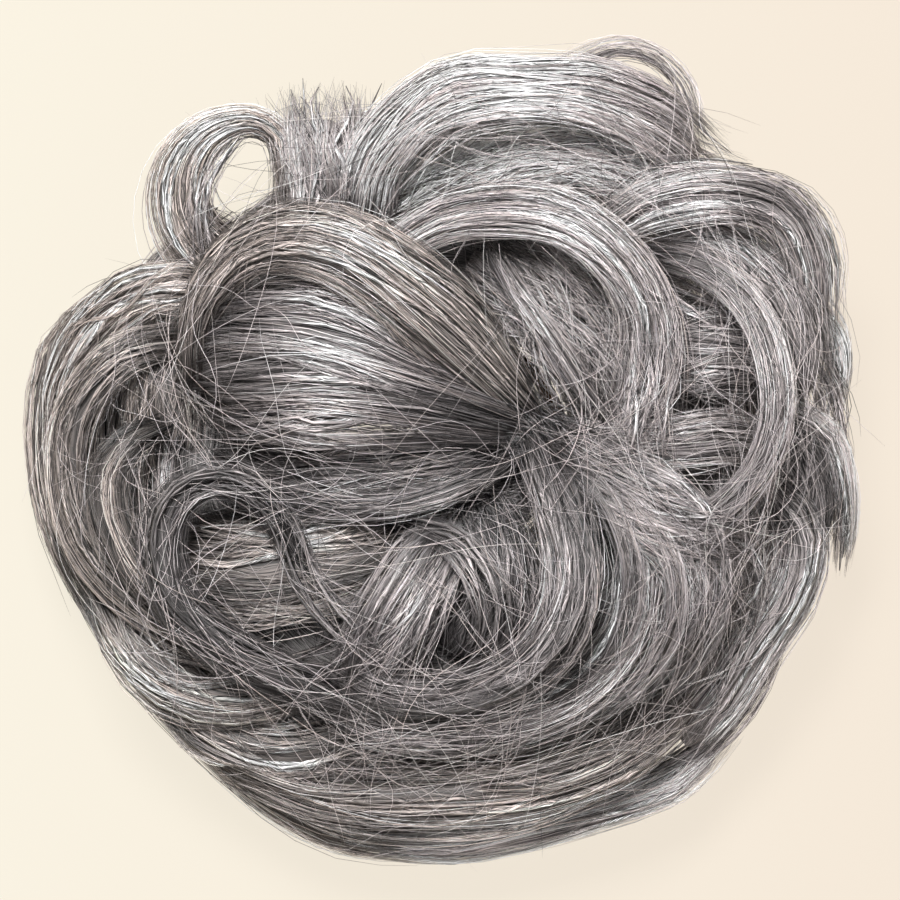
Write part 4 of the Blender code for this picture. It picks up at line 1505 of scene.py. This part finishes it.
@dataclass
class Studio:
    """The floor, the soft lights and the camera straight above.

    Attributes:
        key_power: power of the light over the top edge, in watts.
        fill_power: power of the fainter, wider one.
        sky: grey of the dim sky.
        horizon: the floor's colour, which the sky takes low over it.
        floor_reach: half of the floor's side, in metres.
    """

    key_power: float = 33.0
    fill_power: float = 2.5
    sky: float = 0.18
    horizon: Colour = (0.86, 0.78, 0.67, 1)
    floor_reach: float = 80.0

    def floor(self, material: bpy.types.Material) -> None:
        """Lays the floor under the hairpiece."""
        bm = bmesh.new()
        bmesh.ops.create_grid(bm, x_segments=1, y_segments=1, size=self.floor_reach)
        mesh = bpy.data.meshes.new("floor")
        bm.to_mesh(mesh)
        bm.free()
        mesh.materials.append(material)
        link("floor", mesh)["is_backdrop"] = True

    def light(self, name: str, place: tuple[float, float, float], size: float, power: float) -> None:
        """Hangs one square soft light, aimed at the hairpiece.

        Args:
            name: the light's name.
            place: where it hangs, in metres.
            size: length of its side.
            power: its power, in watts.
        """
        data = bpy.data.lights.new(name, "AREA")
        data.size = size
        data.energy = power
        lamp = link(name, data)
        lamp.location = place
        lamp.rotation_euler = (-Vector(place)).to_track_quat("-Z", "Y").to_euler()

    def backdrop(self) -> None:
        """Makes the dim sky, which takes the floor's colour low over the horizon."""
        world = bpy.data.worlds.new("studio")
        world.use_nodes = True
        nodes, links = world.node_tree.nodes, world.node_tree.links
        place = nodes.new("ShaderNodeTexCoord")
        parts = nodes.new("ShaderNodeSeparateXYZ")
        height = nodes.new("ShaderNodeMapRange")
        height.inputs["From Min"].default_value = 0.06
        height.inputs["From Max"].default_value = 0.16
        colour = nodes.new("ShaderNodeMix")
        colour.data_type = "RGBA"
        colour.inputs[6].default_value = self.horizon
        colour.inputs[7].default_value = (self.sky, self.sky, self.sky, 1)
        for output, socket in (
            (place.outputs["Generated"], parts.inputs[0]),
            (parts.outputs["Z"], height.inputs["Value"]),
            (height.outputs["Result"], colour.inputs[0]),
            (colour.outputs[2], nodes["Background"].inputs["Color"]),
        ):
            links.new(output, socket)
        bpy.context.scene.world = world

    def camera(self, origin: np.ndarray) -> None:
        """Hangs the camera so that a pixel is as wide as measured, and the band is in its place."""
        middle = PHOTO_PIXELS / 2
        data = bpy.data.cameras.new("camera")
        data.lens = data.sensor_width * CAMERA_DISTANCE / (PHOTO_PIXELS * PIXEL)
        camera = link("camera", data)
        camera.location = (
            origin[0] + (middle - BAND_PIXEL[0]) * PIXEL,
            origin[1] + (BAND_PIXEL[1] - middle) * PIXEL,
            FOCUS_HEIGHT + CAMERA_DISTANCE,
        )
        bpy.context.scene.camera = camera

    def build(self, origin: np.ndarray, floor: bpy.types.Material) -> None:
        """Sets up the whole studio.

        Args:
            origin: the band's middle.
            floor: the floor's finish.
        """
        self.floor(floor)
        self.light("key", (-0.15, 0.55, 1.25), 0.4, self.key_power)
        self.light("fill", (0.5, -0.3, 1.0), 0.9, self.fill_power)
        self.backdrop()
        self.camera(origin)
        bpy.context.scene.view_settings.view_transform = "Standard"


def settle(piece: bpy.types.Object, node: str) -> None:
    """Joins a piece to the frame in place of its CAD node.

    Args:
        piece: the new piece.
        node: the CAD node that it stands for.
    """
    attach(piece, BODY)
    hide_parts(node)
    piece.data.calc_loop_triangles()
    log.info("%s: %d triangles", piece.name, len(piece.data.loop_triangles))


def band_middle() -> np.ndarray:
    """The foot of the line through the band's middle, from its CAD node."""
    low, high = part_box("elastic_band")
    return np.array([(low.x + high.x) / 2, (low.y + high.y) / 2, low.z - ElasticBand.low * MM])


def main() -> None:
    """Builds each sub-assembly in order."""
    logging.basicConfig(level=logging.INFO, format="%(message)s")
    cad_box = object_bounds()
    origin = band_middle()
    hair = HairFinish().material()
    settle(ElasticBand().dress(origin, ElasticFinish().material()), "elastic_band")
    skirt = Skirt()
    locks = [*LOCKS, *skirt.locks(skirt.rows)]
    wisps = [*FILLS, *WISPS, *skirt.locks(skirt.wisps)]
    surface = Surface.over([lock.route(origin) for lock in [*locks, *wisps]], origin)
    settle(HairBase().dress(origin, hair, surface), "hair_base")
    for seed, lock in enumerate(locks):
        settle(lock.dress(origin, hair, seed, surface), lock.name)
    for seed, lock in enumerate(wisps, WISP_SEED):
        settle(lock.dress(origin, hair, seed, surface), "hair_base")
    settle(Strays().dress([*locks, *wisps], origin, hair, surface), "hair_base")
    Studio().build(origin, FloorFinish().material())
    total = sum(len(piece.data.loop_triangles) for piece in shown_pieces())
    log.info("all pieces: %d triangles", total)
    boxes = [[list(corner) for corner in box] for box in (cad_box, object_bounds())]


if __name__ == "__main__":
    main()
